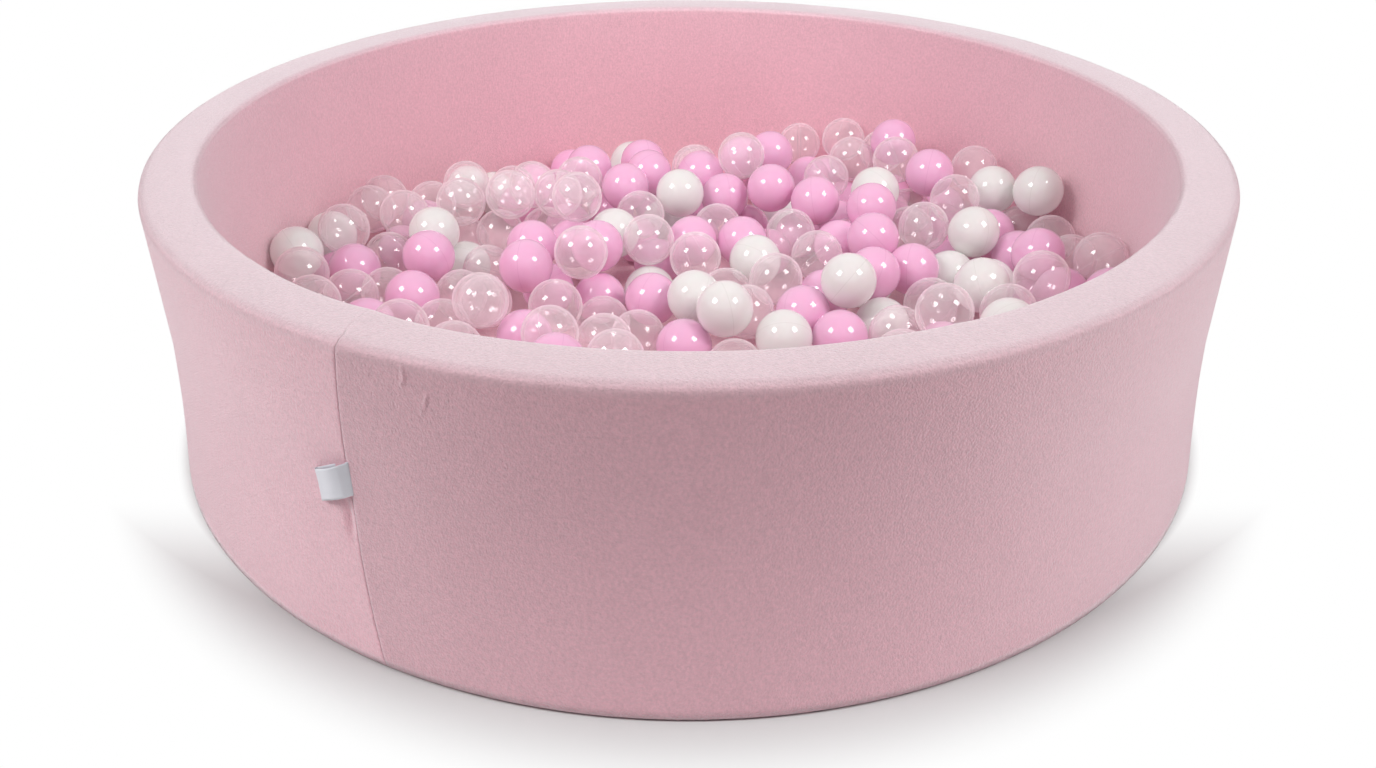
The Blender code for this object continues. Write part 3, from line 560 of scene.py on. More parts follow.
# Small folds near the rim: places along the wall from the seam's azimuth, and heights
SMALL_FOLDS = [
    [(0.072, 0.336), (0.0735, 0.329), (0.0725, 0.324), (0.0692, 0.320)],
    [(0.0935, 0.314), (0.0905, 0.308), (0.0895, 0.304), (0.0860, 0.299)],
]


def distance_to_line(across, up, line):
    """Distance of each point (across, up) from an open line of a few points."""
    nearest = np.full(across.shape, np.inf)
    for (first_a, first_u), (last_a, last_u) in zip(line, line[1:]):
        run_a = last_a - first_a
        run_u = last_u - first_u
        share = ((across - first_a) * run_a + (up - first_u) * run_u) / (run_a ** 2 + run_u ** 2)
        share = np.clip(share, 0, 1)
        gap = np.hypot(across - first_a - share * run_a, up - first_u - share * run_u)
        nearest = np.minimum(nearest, gap)
    return nearest


def sleeve_relief(across, seam_gap, on_wall, points):
    """How far each point of the sleeve stands out from its turned shape."""
    flat_points = [Vector(point) for point in points.reshape(-1, 3)]
    waves = np.array([noise.noise(point / WAVE_LENGTH) for point in flat_points])
    short = np.array([noise.noise(point * SHORT_WAVES / WAVE_LENGTH) for point in flat_points])
    relief = WAVE_HEIGHT * (waves + SHORT_WAVE_SHARE * short).reshape(across.shape)
    relief += SEAM_RIDGE * np.exp(-np.abs(seam_gap) / SEAM_RIDGE_WIDTH)
    wall = on_wall[:, None]
    crease = SEAM_CREASE * np.exp(-np.abs(seam_gap) / SEAM_CREASE_WIDTH)
    relief -= np.where(wall, 1.0, RIM_CREASE_SHARE) * crease
    heights = points[:, :, 2]
    pucker = np.exp(-((seam_gap - PUCKER_PLACE[0]) / PUCKER_SIZE[0]) ** 2
                    - ((heights - PUCKER_PLACE[1]) / PUCKER_SIZE[1]) ** 2)
    relief -= np.where(wall, PUCKER_DEPTH * pucker, 0)
    for line in SMALL_FOLDS:
        fold = np.exp(-(distance_to_line(across, heights, line) / FOLD_WIDTH) ** 2)
        relief += np.where(wall, FOLD_HEIGHT * fold, 0)
    return relief


def sleeve_piece():
    """The whole band of jersey as one turned grid with its relief, thickened inwards."""
    on_wall = rows_on_wall(profile)
    stray = seam_offset(profile, on_wall)
    follow = np.exp(-(along / SEAM_FOLLOW) ** 2)
    across = along[None, :] + stray[:, None] * follow[None, :]
    azimuths = SEAM_AZIMUTH + across / TOP_RADIUS
    points = turned_points(profile[:, 0], profile[:, 1], azimuths)
    tangent = np.gradient(profile, axis=0)
    tangent /= np.linalg.norm(tangent, axis=1, keepdims=True)
    seam_gap = along[None, :] * np.ones(across.shape)
    relief = sleeve_relief(across, seam_gap, on_wall, points)
    relief *= np.clip((profile[:, 1] - SLEEVE_FOOT) / FOOT_FADE, 0, 1)[:, None]
    out = tangent[:, 1][:, None] * relief
    up = -tangent[:, 0][:, None] * relief
    rim = np.clip((profile[:, 0] - INNER_RADIUS) / WALL, 0, 1) * 2 - 1
    crown = np.where(profile[:, 1] > HEIGHT - INNER_ROUND / 2, RIM_CROWN * rim ** 2, 0)
    points[:, :, 0] += out * np.cos(azimuths)
    points[:, :, 1] += out * np.sin(azimuths)
    points[:, :, 2] += up - crown[:, None]

    # Painted light: paler over the rim, where it is also stretched, and painted paler up the inside
    # towards its top
    pale = np.clip((profile[:, 1] - (HEIGHT - 2 * OUTER_ROUND)) / (2 * OUTER_ROUND), 0, 1) ** 2
    inside = np.arange(len(profile)) > int(np.argmax(profile[:, 1]))
    inner_painted_light = INSIDE_PAINTED_LIGHT_SHARE * np.clip(profile[:, 1] / HEIGHT, 0, 1) ** 2
    pale = np.where(inside, np.maximum(pale, inner_painted_light), pale)
    stretch = pale[:, None] * np.ones(across.shape)
    # Painted shade along the seam's gap, fading where the cloth is painted paler
    seam_line = SEAM_LINE_SHARE * np.exp(-(seam_gap / SEAM_LINE_WIDTH) ** 2)
    seam_line *= 1 - SEAM_LINE_LOSS * stretch
    seam_side = np.where(seam_gap < 0, np.exp(seam_gap / LIGHTER_REACH),
                       -DARKER_SHARE * np.exp(-seam_gap / DARKER_REACH))
    seam_side *= on_wall[:, None] * (1 - stretch)
    mesh = grid_mesh("jersey_sleeve", points, True, {
        "stretch": stretch, "seam_line": seam_line, "brushed_light": seam_side})
    mesh.flip_normals()
    return thicken(add_piece("jersey_sleeve", mesh, jersey), JERSEY)


sleeve = sleeve_piece()
print("sleeve faces", len(sleeve.data.polygons))

# %% [markdown]
# ## The floor and the underside of the cover
# A round panel of jersey is the pit's floor, hidden under the balls. Another round panel, of
# plainer woven cloth, closes the bottom and carries the zip. Each is a grid of rings. The floor
# sags a little between the foam and its seam, and the underside leaves a slit open for the zip.

# %% Woven cloth of the underside
WEAVE_PITCH = 0.0016
WEAVE_SHADE = 0.82


def woven_material(name, base, pitch, roughness):
    """Plain woven cloth: threads over and under each other, drawn at twice their real pitch."""
    material, tree = new_material(name)
    place = object_place(tree)
    threads = [thread_waves(tree, place, direction, pitch, 0.6) for direction in ("X", "Y")]
    weave = maths(tree, "MULTIPLY", *threads)
    dark = (*[value * WEAVE_SHADE for value in base[:3]], 1.0)
    return principled(material, Base_Color=mix_colours(tree, weave, dark, base),
                      Normal=bump(tree, weave, 0.5, 0.0004), Roughness=roughness,
                      Specular_IOR_Level=0.25, Sheen_Weight=0.1)


underside_cloth = woven_material("woven_polyester", colour("#CFA3AF"), WEAVE_PITCH, 0.8)
print("cloth", underside_cloth.name)

# %% Floor panel
PANEL_STEPS = 144
PANEL_MIDDLE = 0.002
FLOOR_RING = 0.018
FLOOR_SAG = 0.0010
SAG_EDGE_POWER = 8


def disc_mesh(name, points, upwards, skip=None):
    """A grid of rings from a small middle ring outwards, with that ring filled by one face."""
    mesh = grid_mesh(name, points, True, None, skip)
    faces = [tuple(face.vertices) for face in mesh.polygons]
    faces.append(tuple(range(points.shape[1]))[::-1])
    mesh.clear_geometry()
    mesh.from_pydata(points.reshape(-1, 3).tolist(), [], faces)
    if (mesh.polygons[0].normal.z > 0) != upwards:
        mesh.flip_normals()
    mesh.shade_smooth()
    return mesh


def panel_floor():
    """A disc of jersey that sags slightly between the foam disc and its edge."""
    edge = INNER_RADIUS - CLEARANCE
    radii = steps_between(PANEL_MIDDLE, edge, FLOOR_RING) + [edge]
    azimuths = SEAM_AZIMUTH + np.arange(PANEL_STEPS) * FULL_TURN / PANEL_STEPS
    points = turned_points(radii, [FLOOR_TOP] * len(radii), azimuths)
    for row in range(len(radii)):
        held = 1 - abs(2 * radii[row] / INNER_RADIUS - 1) ** SAG_EDGE_POWER
        for column in range(PANEL_STEPS):
            sway = noise.noise(Vector(points[row, column]) / WAVE_LENGTH)
            points[row, column, 2] -= FLOOR_SAG * (0.5 + 0.5 * sway) * held
    mesh = disc_mesh("jersey_floor", points, True)
    return thicken(add_piece("jersey_floor", mesh, jersey), JERSEY - FLOOR_SAG / 2)


floor_panel = panel_floor()
print("floor panel faces", len(floor_panel.data.polygons))

# %% Zip places and the underside panel
ZIP_INSET = 0.030
ZIP_RADIUS = TOP_RADIUS - ZIP_INSET
TAPE_WIDTH = 0.014
ZIP_WINDOW = 0.012
CHAIN_WIDTH = 0.0020
CHAIN_GAP = 0.0026
CHAIN_HEIGHT = 0.0022
UNDERSIDE_RING = 0.030
UNDERSIDE_FLAT_EDGE = 0.010
EDGE_TURNS = (15, 35, 55, 75, 90)
stop_closed = sum(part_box("zip_stop_closed"), Vector()) / 2
stop_open = sum(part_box("zip_stop_open"), Vector()) / 2
ZIP_START = math.atan2(stop_closed.y, stop_closed.x)
ZIP_END = math.atan2(stop_open.y, stop_open.x) % FULL_TURN
TAPE_MIDDLE = stop_closed.z


def panel_underside():
    """A disc of woven cloth with its edge turned up to meet the sleeve and a slit for the zip."""
    slit = (ZIP_RADIUS - ZIP_WINDOW / 2, ZIP_RADIUS + ZIP_WINDOW / 2)
    radii = steps_between(PANEL_MIDDLE, slit[0], UNDERSIDE_RING)
    radii += [slit[0], slit[1], FOOT_RADIUS - UNDERSIDE_FLAT_EDGE]
    heights = [0.0] * len(radii)
    for angle in EDGE_TURNS:
        turn = math.radians(angle)
        radii.append(FOOT_RADIUS - UNDERSIDE + UNDERSIDE * math.sin(turn))
        heights.append(UNDERSIDE - UNDERSIDE * math.cos(turn))
    azimuths = ZIP_START + np.arange(PANEL_STEPS) * FULL_TURN / PANEL_STEPS
    last_open = math.ceil((ZIP_END - ZIP_START) / FULL_TURN * PANEL_STEPS)
    slit_row = radii.index(slit[0])
    mesh = disc_mesh("woven_underside", turned_points(radii, heights, azimuths), False,
                     lambda row, column: row == slit_row and column < last_open)
    return thicken(add_piece("woven_underside", mesh, underside_cloth), UNDERSIDE - CLEARANCE)


underside_panel = panel_underside()
print("underside faces", len(underside_panel.data.polygons))

# %% [markdown]
# ## Foam
# The wall is two bent slabs of open-cell polyurethane foam, glued end to end, with a foam disc
# between them as the floor. The cover hides all of it, but the tub is only soft because of it, so
# each piece is modelled as a turned solid with the foam's pale cut face. Below, the slabs have a
# shallow channel that leaves room for the zip and its slider.

# %% Foam material and pieces
FOAM_CELL = 0.0012
FOAM_OUTER = TOP_RADIUS - JERSEY - CLEARANCE
FOAM_INNER = INNER_RADIUS + JERSEY + CLEARANCE
FOAM_STEPS = 72
BAND_SHARP_TURN = math.radians(40)
CHANNEL_HALF_WIDTH = 0.0185
CHANNEL_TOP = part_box("zip_slider")[1].z + 2 * CLEARANCE
DISC_MIDDLE = 0.001
DISC_CHAMFER = 0.004


def foam_material():
    """Cut polyurethane foam: matt, cream, with a fine field of open cells."""
    material, tree = new_material("open_cell_foam")
    cells = add_node(tree, "ShaderNodeTexVoronoi", Scale=1 / FOAM_CELL, Vector=object_place(tree))
    hollow = cells.outputs["Distance"]
    tone = mix_colours(tree, hollow, colour("#D9CFA8"), colour("#F0E9CB"))
    return principled(material, Base_Color=tone, Normal=bump(tree, hollow, 0.6, 0.0006),
                      Roughness=0.95, Specular_IOR_Level=0.1)


def closed_band(name, outline, start, sweep, steps, material):
    """A closed (radius, height) outline turned through part of a circle, with its ends filled."""
    azimuths = start + np.linspace(0, sweep, steps + 1)
    ring = len(outline)
    points = []
    for azimuth in azimuths:
        points += [(radius * math.cos(azimuth), radius * math.sin(azimuth), height)
                   for radius, height in outline]
    faces = [tuple(range(ring))[::-1], tuple(range(steps * ring, (steps + 1) * ring))]
    for step in range(steps):
        for place in range(ring):
            after = (place + 1) % ring
            faces.append((step * ring + place, step * ring + after,
                          (step + 1) * ring + after, (step + 1) * ring + place))
    mesh = bpy.data.meshes.new(name)
    mesh.from_pydata(points, [], faces)
    mesh.flip_normals()
    mesh.shade_smooth()
    mesh.set_sharp_from_angle(angle=BAND_SHARP_TURN)
    return add_piece(name, mesh, material)


def foam_outline():
    """The slab's section: upright faces, soft top corners, and a channel below for the zip."""
    inset = JERSEY + CLEARANCE
    top = HEIGHT - RIM_CROWN
    outline = [(FOAM_OUTER, SLEEVE_FOOT)]
    outline += quarter_round(TOP_RADIUS - OUTER_ROUND, top - OUTER_ROUND, OUTER_ROUND - inset, 0, True)
    outline += quarter_round(INNER_RADIUS + INNER_ROUND, top - INNER_ROUND, INNER_ROUND - inset, 1, True)
    outline.append((FOAM_INNER, SLEEVE_FOOT))
    for side, height in ((-1, SLEEVE_FOOT), (-1, CHANNEL_TOP), (1, CHANNEL_TOP), (1, SLEEVE_FOOT)):
        outline.append((ZIP_RADIUS + side * CHANNEL_HALF_WIDTH, height))
    return outline


foam = foam_material()
glue = CLEARANCE / TOP_RADIUS
slab_sweep = math.pi - 2 * glue
foam_front = closed_band("foam_slab_front", foam_outline(), glue - math.pi, slab_sweep, FOAM_STEPS, foam)
foam_back = closed_band("foam_slab_back", foam_outline(), glue, slab_sweep, FOAM_STEPS, foam)
disc_low, disc_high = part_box("foam_floor")
disc_radius = (disc_high.x - disc_low.x) / 2
foam_disc = closed_band("foam_disc", [
    (DISC_MIDDLE, disc_low.z), (disc_radius - DISC_CHAMFER, disc_low.z),
    (disc_radius, disc_low.z + DISC_CHAMFER), (disc_radius, disc_high.z - DISC_CHAMFER),
    (disc_radius - DISC_CHAMFER, disc_high.z), (DISC_MIDDLE, disc_high.z),
], 0, FULL_TURN, 2 * FOAM_STEPS, foam)
print("foam pieces", [item.name for item in (foam_front, foam_back, foam_disc)])

# %% [markdown]
# ## Welts and the seam's folded edge
# Behind each seam lie two edges of jersey, folded back and sewn together. Two of these welts run
# round the pit, at the floor and at the foot, and one runs up the wall behind the upright seam.

# %% Welts
WELT_STEPS = 180
WELT_ROUND = 0.001
FLOOR_WELT_WIDTH = 0.002
FOOT_WELT_WIDTH = 0.008
FOOT_WELT_DIP = 0.0005
FOOT_LEAN_SHARE = 0.97
FOLD_HALF_WIDTH = 0.004
FOLD_COLUMNS = 5
FOLD_ROWS = (0.010, 0.012)
FOLD_FOOT_GAP = 0.003
FOLD_FLOOR_GAP = 0.001

low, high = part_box("floor_seam_welt")
face = FOAM_INNER - CLEARANCE
back = face - FLOOR_WELT_WIDTH
floor_welt = closed_band("floor_welt", [
    (back, high.z), (back, low.z + WELT_ROUND), (face - WELT_ROUND, low.z),
    (face, low.z + WELT_ROUND), (face, high.z)], 0, FULL_TURN, WELT_STEPS, jersey)
low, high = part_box("foot_seam_welt")
face = TOP_RADIUS + FOOT_FLARE * FOOT_LEAN_SHARE - JERSEY - CLEARANCE
back = face - FOOT_WELT_WIDTH
foot_welt = closed_band("foot_welt", [
    ((back + face) / 2, high.z), (back, high.z - FOOT_WELT_DIP), (back, low.z),
    (face, low.z), (face, high.z - FOOT_WELT_DIP)], 0, FULL_TURN, WELT_STEPS, jersey)


def seam_allowance():
    """The folded edge behind the upright seam: a narrow strip that follows the sleeve's profile."""
    strip = sleeve_profile(JERSEY + CLEARANCE, SLEEVE_FOOT + FOLD_FOOT_GAP,
                           FLOOR_BOTTOM + FOLD_FLOOR_GAP, *FOLD_ROWS)
    stray = seam_offset(strip, rows_on_wall(strip))
    offsets = np.linspace(-FOLD_HALF_WIDTH, FOLD_HALF_WIDTH, FOLD_COLUMNS)
    azimuths = SEAM_AZIMUTH + (stray[:, None] + offsets[None, :]) / TOP_RADIUS
    mesh = grid_mesh("seam_fold", turned_points(strip[:, 0], strip[:, 1], azimuths), False)
    mesh.flip_normals()
    return thicken(add_piece("seam_fold", mesh, jersey), JERSEY)


seam_fold = seam_allowance()
print("welts", floor_welt.name, foot_welt.name, seam_fold.name)

# %% [markdown]
# ## The label
# A satin ribbon is folded into a loop and its two ends are sewn into the seam. Its free fold hangs
# lower than its sewn end, its front bows out, and a lens-shaped gap opens along its top edge. It
# carries nothing: the ribbon is bare.

# %% Satin material
SATIN_RIB = 0.0009


def satin_material():
    """Polyester satin ribbon: white, smooth and slightly lustrous, with fine crossways ribs."""
    material, tree = new_material("polyester_satin")
    ribs = thread_waves(tree, object_place(tree), "Z", SATIN_RIB, 0.8)
    tone = mix_colours(tree, ribs, colour("#DADAE4"), colour("#ECECF2"))
    return principled(material, Base_Color=tone, Normal=bump(tree, ribs, 0.25, 0.0002),
                      Roughness=0.42, Specular_IOR_Level=0.6, Sheen_Weight=0.2)


# %% Label loop
LABEL_WIDTH = 0.0425
RIBBON_HEIGHT = 0.0360
RIBBON = 0.0004
LABEL_SEWN_TOP = 0.2235
LABEL_DROOP = 0.0190
LABEL_DROOP_POWER = 1.1
LABEL_BOW = 0.0048
LABEL_BOW_POWER = 1.4
LABEL_BOW_LOSS = 0.45
LABEL_STAND = 0.0005
LABEL_LEAN = 0.0020
LABEL_FOLD_ROUND = 0.0021
LABEL_FOLD_TURNS = (0, 45, 90, 135, 180)
# How open the loop is at its sewn edge, as a share of the fold, and how fast it opens from there
SEWN_GAP_SHARE = 0.1
GAP_GROWTH = 4
SEWN_EDGE_SHARE = 0.3
LABEL_COLUMNS = 26
LABEL_ROWS = 14
FACET_AZIMUTH = math.radians(-120.75)
SEAM_OFFSET = 0.028


def label_loop():
    """A ribbon that leaves the seam, bows outwards, folds at its free end and comes back."""
    outwards = Vector((math.cos(FACET_AZIMUTH), math.sin(FACET_AZIMUTH), 0))
    leftwards = Vector((math.sin(FACET_AZIMUTH), -math.cos(FACET_AZIMUTH), 0))
    shares = [index / LABEL_COLUMNS for index in range(LABEL_COLUMNS)]
    path = [(share, 1.0) for share in shares]
    path += [(1.0, math.cos(math.radians(turn))) for turn in LABEL_FOLD_TURNS]
    path += [(share, -1.0) for share in reversed(shares)]
    points = np.zeros((LABEL_ROWS + 1, len(path), 3))
    for row in range(LABEL_ROWS + 1):
        down = row / LABEL_ROWS
        for column, (share, side) in enumerate(path):
            bow = LABEL_BOW * math.sin(math.pi * share) ** LABEL_BOW_POWER * (1 - LABEL_BOW_LOSS * down)
            gap = LABEL_FOLD_ROUND * min(1, GAP_GROWTH * share + SEWN_GAP_SHARE) + bow / 2
            reach = share * (LABEL_WIDTH - LABEL_FOLD_ROUND)
            if share == 1.0:
                reach += LABEL_FOLD_ROUND * math.sqrt(max(0, 1 - side ** 2))
            stand = LABEL_STAND + gap + side * gap + LABEL_LEAN * share ** 2 * (1 - down)
            droop = LABEL_DROOP * share ** LABEL_DROOP_POWER
            height = LABEL_SEWN_TOP - droop - RIBBON_HEIGHT * down
            sideways = reach - SEAM_OFFSET
            ridge = SEAM_RIDGE * math.exp(-reach / SEAM_RIDGE_WIDTH)
            if share == 0:
                ridge *= SEWN_EDGE_SHARE
                stand *= SEWN_EDGE_SHARE
            wall = math.sqrt((TOP_RADIUS + flare(height) + ridge) ** 2 - sideways ** 2)
            place = leftwards * sideways + outwards * (wall + stand)
            points[row, column] = (place.x, place.y, height)
    mesh = grid_mesh("ribbon_label", points, False)
    return thicken(add_piece("ribbon_label", mesh, satin_material()), RIBBON)


label = label_loop()
print("label faces", len(label.data.polygons))

# %% [markdown]
# ## Balls
# Hollow balls, 70 mm across, blow-moulded from polyethylene: pink, pearl white and clear. Their
# places were read from the photograph as pixels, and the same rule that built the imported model
# slides them along their sight lines until none overlaps another. Balls that the front wall hides
# are filled in by a seeded draw. The depth of the heap is then packed, each ball as low as it can
# lie, and behind the front wall also in the gaps of the lowest layer. A hidden ball that would
# stand out above the heap of the photograph is left out.

# %% Ball places: rule of the heap
BALL_RADIUS = (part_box("loose_pink_ball_01")[1].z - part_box("loose_pink_ball_01")[0].z) / 2
BALL_SPACING_GAP = 0.0004
HEAP_FOOT = -0.130
HEAP_CREST = 0.340
HEAP_RISE_SHARE = 0.20
HEAP_FALL_SHARE = 0.55
HEAP_SIDE_SHARE = 0.05
HEAP_TILT_SHARE = 0.03
HEAP_STRAY_UP = 0.060
HEAP_STRAY_DOWN = 0.070
FILL_DROP = 0.012
BALL_SPACING = 2 * BALL_RADIUS + BALL_SPACING_GAP
WALL_FACET_HALF_TURN = math.radians(3.75)
BALL_REACH = INNER_RADIUS * math.cos(WALL_FACET_HALF_TURN) - BALL_RADIUS - 2 * CLEARANCE
LOWEST_CENTRE = FLOOR_TOP + CLEARANCE + BALL_RADIUS


def heap_height(across, along):
    """Height of the top layer's ball centres over a place in the pit."""
    rise = HEAP_RISE_SHARE * (min(along, HEAP_CREST) - HEAP_FOOT)
    rise += HEAP_SIDE_SHARE * abs(across) + HEAP_TILT_SHARE * across
    fall = HEAP_FALL_SHARE * max(along - HEAP_CREST, 0)
    return LOWEST_CENTRE + max(rise - fall, 0)


print("ball radius", round(BALL_RADIUS, 5), "lowest centre", round(LOWEST_CENTRE, 5))

# %% Ball places: pixels read off the photograph
# Each ball's centre and width in pixels of the photograph
PINK_PIXELS = [
    (357, 269, 54), (367, 323, 52), (415, 300, 52), (429, 256, 52), (522, 320, 54), (529, 259, 53),
    (532, 284, 55), (545, 280, 53), (556, 361, 55), (570, 244, 50), (589, 168, 45), (596, 299, 53),
    (598, 254, 51), (623, 187, 47), (643, 162, 45), (645, 303, 56), (648, 173, 45), (681, 345, 56),
    (696, 241, 48), (701, 174, 45), (724, 197, 48), (741, 241, 47), (770, 154, 45), (771, 188, 47),
    (803, 311, 53), (808, 178, 46), (815, 201, 49), (825, 292, 51), (838, 244, 48), (839, 337, 56),
    (871, 208, 50), (874, 240, 51), (880, 283, 51), (893, 142, 46), (912, 272, 50), (929, 174, 46),
    (993, 234, 48), (1013, 252, 50), (1038, 258, 53), (1059, 289, 53), (1108, 295, 54),
]
WHITE_PIXELS = [
    (295, 252, 54), (305, 223, 49), (412, 348, 54), (434, 232, 51), (469, 188, 44), (473, 265, 48),
    (521, 249, 50), (609, 235, 48), (632, 163, 44), (647, 288, 50), (680, 193, 49), (693, 298, 52),
    (726, 310, 57), (755, 261, 50), (783, 339, 57), (848, 282, 54), (875, 191, 48), (889, 318, 56),
    (943, 270, 48), (966, 238, 51), (981, 288, 54), (988, 285, 52), (992, 190, 48), (1005, 326, 55),
    (1038, 191, 50),
]
CLEAR_PIXELS = [
    (302, 273, 56), (315, 304, 56), (346, 232, 53), (354, 298, 55), (358, 216, 48), (379, 197, 48),
    (386, 292, 50), (389, 253, 50), (397, 330, 53), (404, 217, 49), (440, 208, 46), (449, 318, 54),
    (452, 341, 54), (461, 202, 52), (463, 294, 52), (470, 186, 52), (480, 235, 48), (485, 322, 58),
    (491, 299, 52), (496, 266, 50), (497, 238, 48), (508, 188, 46), (513, 202, 50), (533, 185, 47),
    (540, 231, 48), (548, 308, 54), (550, 335, 55), (554, 194, 47), (577, 197, 50), (582, 181, 46),
    (582, 252, 54), (597, 319, 54), (602, 341, 56), (615, 358, 57), (637, 336, 54), (638, 215, 49),
    (647, 244, 50), (694, 167, 46), (694, 257, 53), (697, 166, 44), (719, 227, 48), (727, 293, 52),
    (737, 365, 55), (741, 156, 47), (748, 309, 54), (778, 282, 51), (789, 234, 49), (800, 143, 45),
    (817, 256, 53), (826, 178, 46), (845, 138, 46), (851, 159, 46), (896, 160, 46), (905, 325, 55),
    (905, 358, 56), (909, 216, 50), (915, 224, 51), (927, 228, 53), (928, 301, 54), (932, 322, 56),
    (953, 201, 49), (960, 346, 55), (974, 169, 46), (1011, 309, 54), (1019, 230, 48),
    (1038, 284, 55), (1049, 240, 50), (1068, 259, 50), (1102, 259, 54),
]
# How many pixels further down the picture put a ball in front as surely as one more pixel of width
PIXELS_PER_WIDTH_PIXEL = 4
print("balls read", len(PINK_PIXELS), "pink", len(WHITE_PIXELS), "white", len(CLEAR_PIXELS), "clear")

# %% Ball places: settle the seen balls
RELAX_ROUNDS = 1600
PULLED_SHARE = 0.9
HALVINGS = 24
HOME_PULL_SHARE = 0.01
SIDE_PULL_SHARE = 0.30
STRAY_STEP_SHARE = 0.5
SIDEWAYS_SHARE = 0.80
DEPTH_PUSH_SHARE = 0.25
SETTLED_OVERLAP = BALL_SPACING_GAP / 20


def sight_directions(pixels):
    """Unit directions from the camera through pixels of the picture."""
    across = (pixels[:, 0] - CAMERA_CENTRE_PIXELS[0]) / CAMERA_FOCAL_PIXELS
    down = (pixels[:, 1] - CAMERA_CENTRE_PIXELS[1]) / CAMERA_FOCAL_PIXELS
    level = math.cos(CAMERA_PITCH) - down * math.sin(CAMERA_PITCH)
    fall = -math.sin(CAMERA_PITCH) - down * math.cos(CAMERA_PITCH)
    lines = np.stack([across, level, fall], axis=1)
    return lines / np.linalg.norm(lines, axis=1, keepdims=True)


def keep_inside(places):
    """Bring ball centres back inside the wall and above the floor."""
    reach = np.hypot(places[:, 0], places[:, 1])
    shrink = np.minimum(1.0, BALL_REACH / np.maximum(reach, BALL_RADIUS))
    places[:, 0] *= shrink
    places[:, 1] *= shrink
    places[:, 2] = np.maximum(places[:, 2], LOWEST_CENTRE)
    return places


def settle(home, lines, nearness):
    """Push overlapping balls apart: along their sight lines, or sideways when they are abreast."""
    places = home.copy()
    nearer = nearness[:, None] > nearness[None, :]
    for turn in range(RELAX_ROUNDS):
        freedom = min(turn / (RELAX_ROUNDS * PULLED_SHARE), 1)
        pulled = freedom < 1
        away = places[:, None, :] - places[None, :, :]
        distance = np.linalg.norm(away, axis=2)
        np.fill_diagonal(distance, 2 * BALL_SPACING)
        overlap = np.maximum(BALL_SPACING - distance, 0)
        if not pulled and overlap.max() <= SETTLED_OVERLAP:
            break
        along = np.einsum("ijk,ik->ij", away, lines)
        abreast = np.sqrt(np.maximum(distance ** 2 - along ** 2, 0))
        deep = (overlap > 0) & (abreast < SIDEWAYS_SHARE * BALL_SPACING) & pulled
        wanted = np.sqrt(np.maximum(BALL_SPACING ** 2 - abreast ** 2, 0))
        shortfall = np.maximum(np.where(nearer, wanted + along, wanted - along), 0)
        depth_push = np.where(deep, np.where(nearer, -shortfall, shortfall), 0).sum(axis=1)
        side_push = np.where(deep, 0, overlap)[:, :, None] * away / distance[:, :, None] / 2
        places = places + DEPTH_PUSH_SHARE * depth_push[:, None] * lines + side_push.sum(axis=1)
        drift = home - places
        drift_along = np.einsum("ij,ij->i", drift, lines)[:, None] * lines
        pull = SIDE_PULL_SHARE * (drift - drift_along) + HOME_PULL_SHARE * drift
        places = places + (1 - freedom) * pull
        surface = np.array([heap_height(*place[:2]) for place in places])
        stray = places[:, 2] - surface
        excess = np.maximum(stray - HEAP_STRAY_UP, 0) + np.minimum(stray + HEAP_STRAY_DOWN, 0)
        places = keep_inside(places - (excess / lines[:, 2])[:, None] * lines * STRAY_STEP_SHARE)
    return places


def meet_heap(eye, line):
    """The place where a sight line comes down to the height of the heap, found by halving."""
    near = 0.0
    far = (LOWEST_CENTRE - eye[2]) / line[2]
    for halving in range(HALVINGS):
        reach = (near + far) / 2
        place = eye + reach * line
        if place[2] > heap_height(place[0], place[1]):
            near = reach
        else:
            far = reach
    return eye + far * line


def seen_balls(eye):
    """Places and colours of the balls read from the photograph, slid along their sight lines."""
    rows = [(*row, "pink") for row in PINK_PIXELS]
    rows += [(*row, "white") for row in WHITE_PIXELS]
    rows += [(*row, "clear") for row in CLEAR_PIXELS]
    pixels = np.array([row[:3] for row in rows], float)
    lines = sight_directions(pixels)
    home = np.array([meet_heap(eye, line) for line in lines])
    nearness = pixels[:, 1] + PIXELS_PER_WIDTH_PIXEL * pixels[:, 2]
    places = settle(home, lines, nearness)
    kept = []
    for index in np.argsort(-places[:, 2]):
        gaps = [np.linalg.norm(places[index] - places[other]) for other in kept]
        if all(gap > BALL_SPACING - BALL_SPACING_GAP / 2 for gap in gaps):
            kept.append(int(index))
    return [(places[index], rows[index][3]) for index in kept]


eye = np.array([0.0, -CAMERA_DISTANCE, CAMERA_HEIGHT])
seen = seen_balls(eye)
print("balls settled", len(seen))

# %% Ball places: hidden balls
FILL_SEED = 7
FILL_TRIES = 30000
OUTLINE_SHARE = 0.25
FILL_COLOUR_SHARES = (("pink", 0.42), ("white", 0.22), ("clear", 0.36))
BURIED_SEED = 21
BURIED_STEP = 0.007
BURIED_COVER = 0.012
SNUG_SHARE = 0.5
NESTLE_RISE = 0.034
SIGHT_MARGIN_SHARE = 1.16
BURIED_LIMIT = 260
BURIED_COLOUR_SHARES = (("pink", 0.80), ("white", 0.20))


def draw_colour(chance, shares):
    """One colour drawn by its share of the balls."""
    pick = chance.random()
    for name, share in shares:
        if pick < share:
            return name
        pick -= share
    return shares[-1][0]


def draw_spot(chance):
    """A random place on the floor of the pit, as far out as a ball can lie."""
    reach = BALL_REACH * math.sqrt(chance.random())
    azimuth = FULL_TURN * chance.random()
    return reach * math.cos(azimuth), reach * math.sin(azimuth)


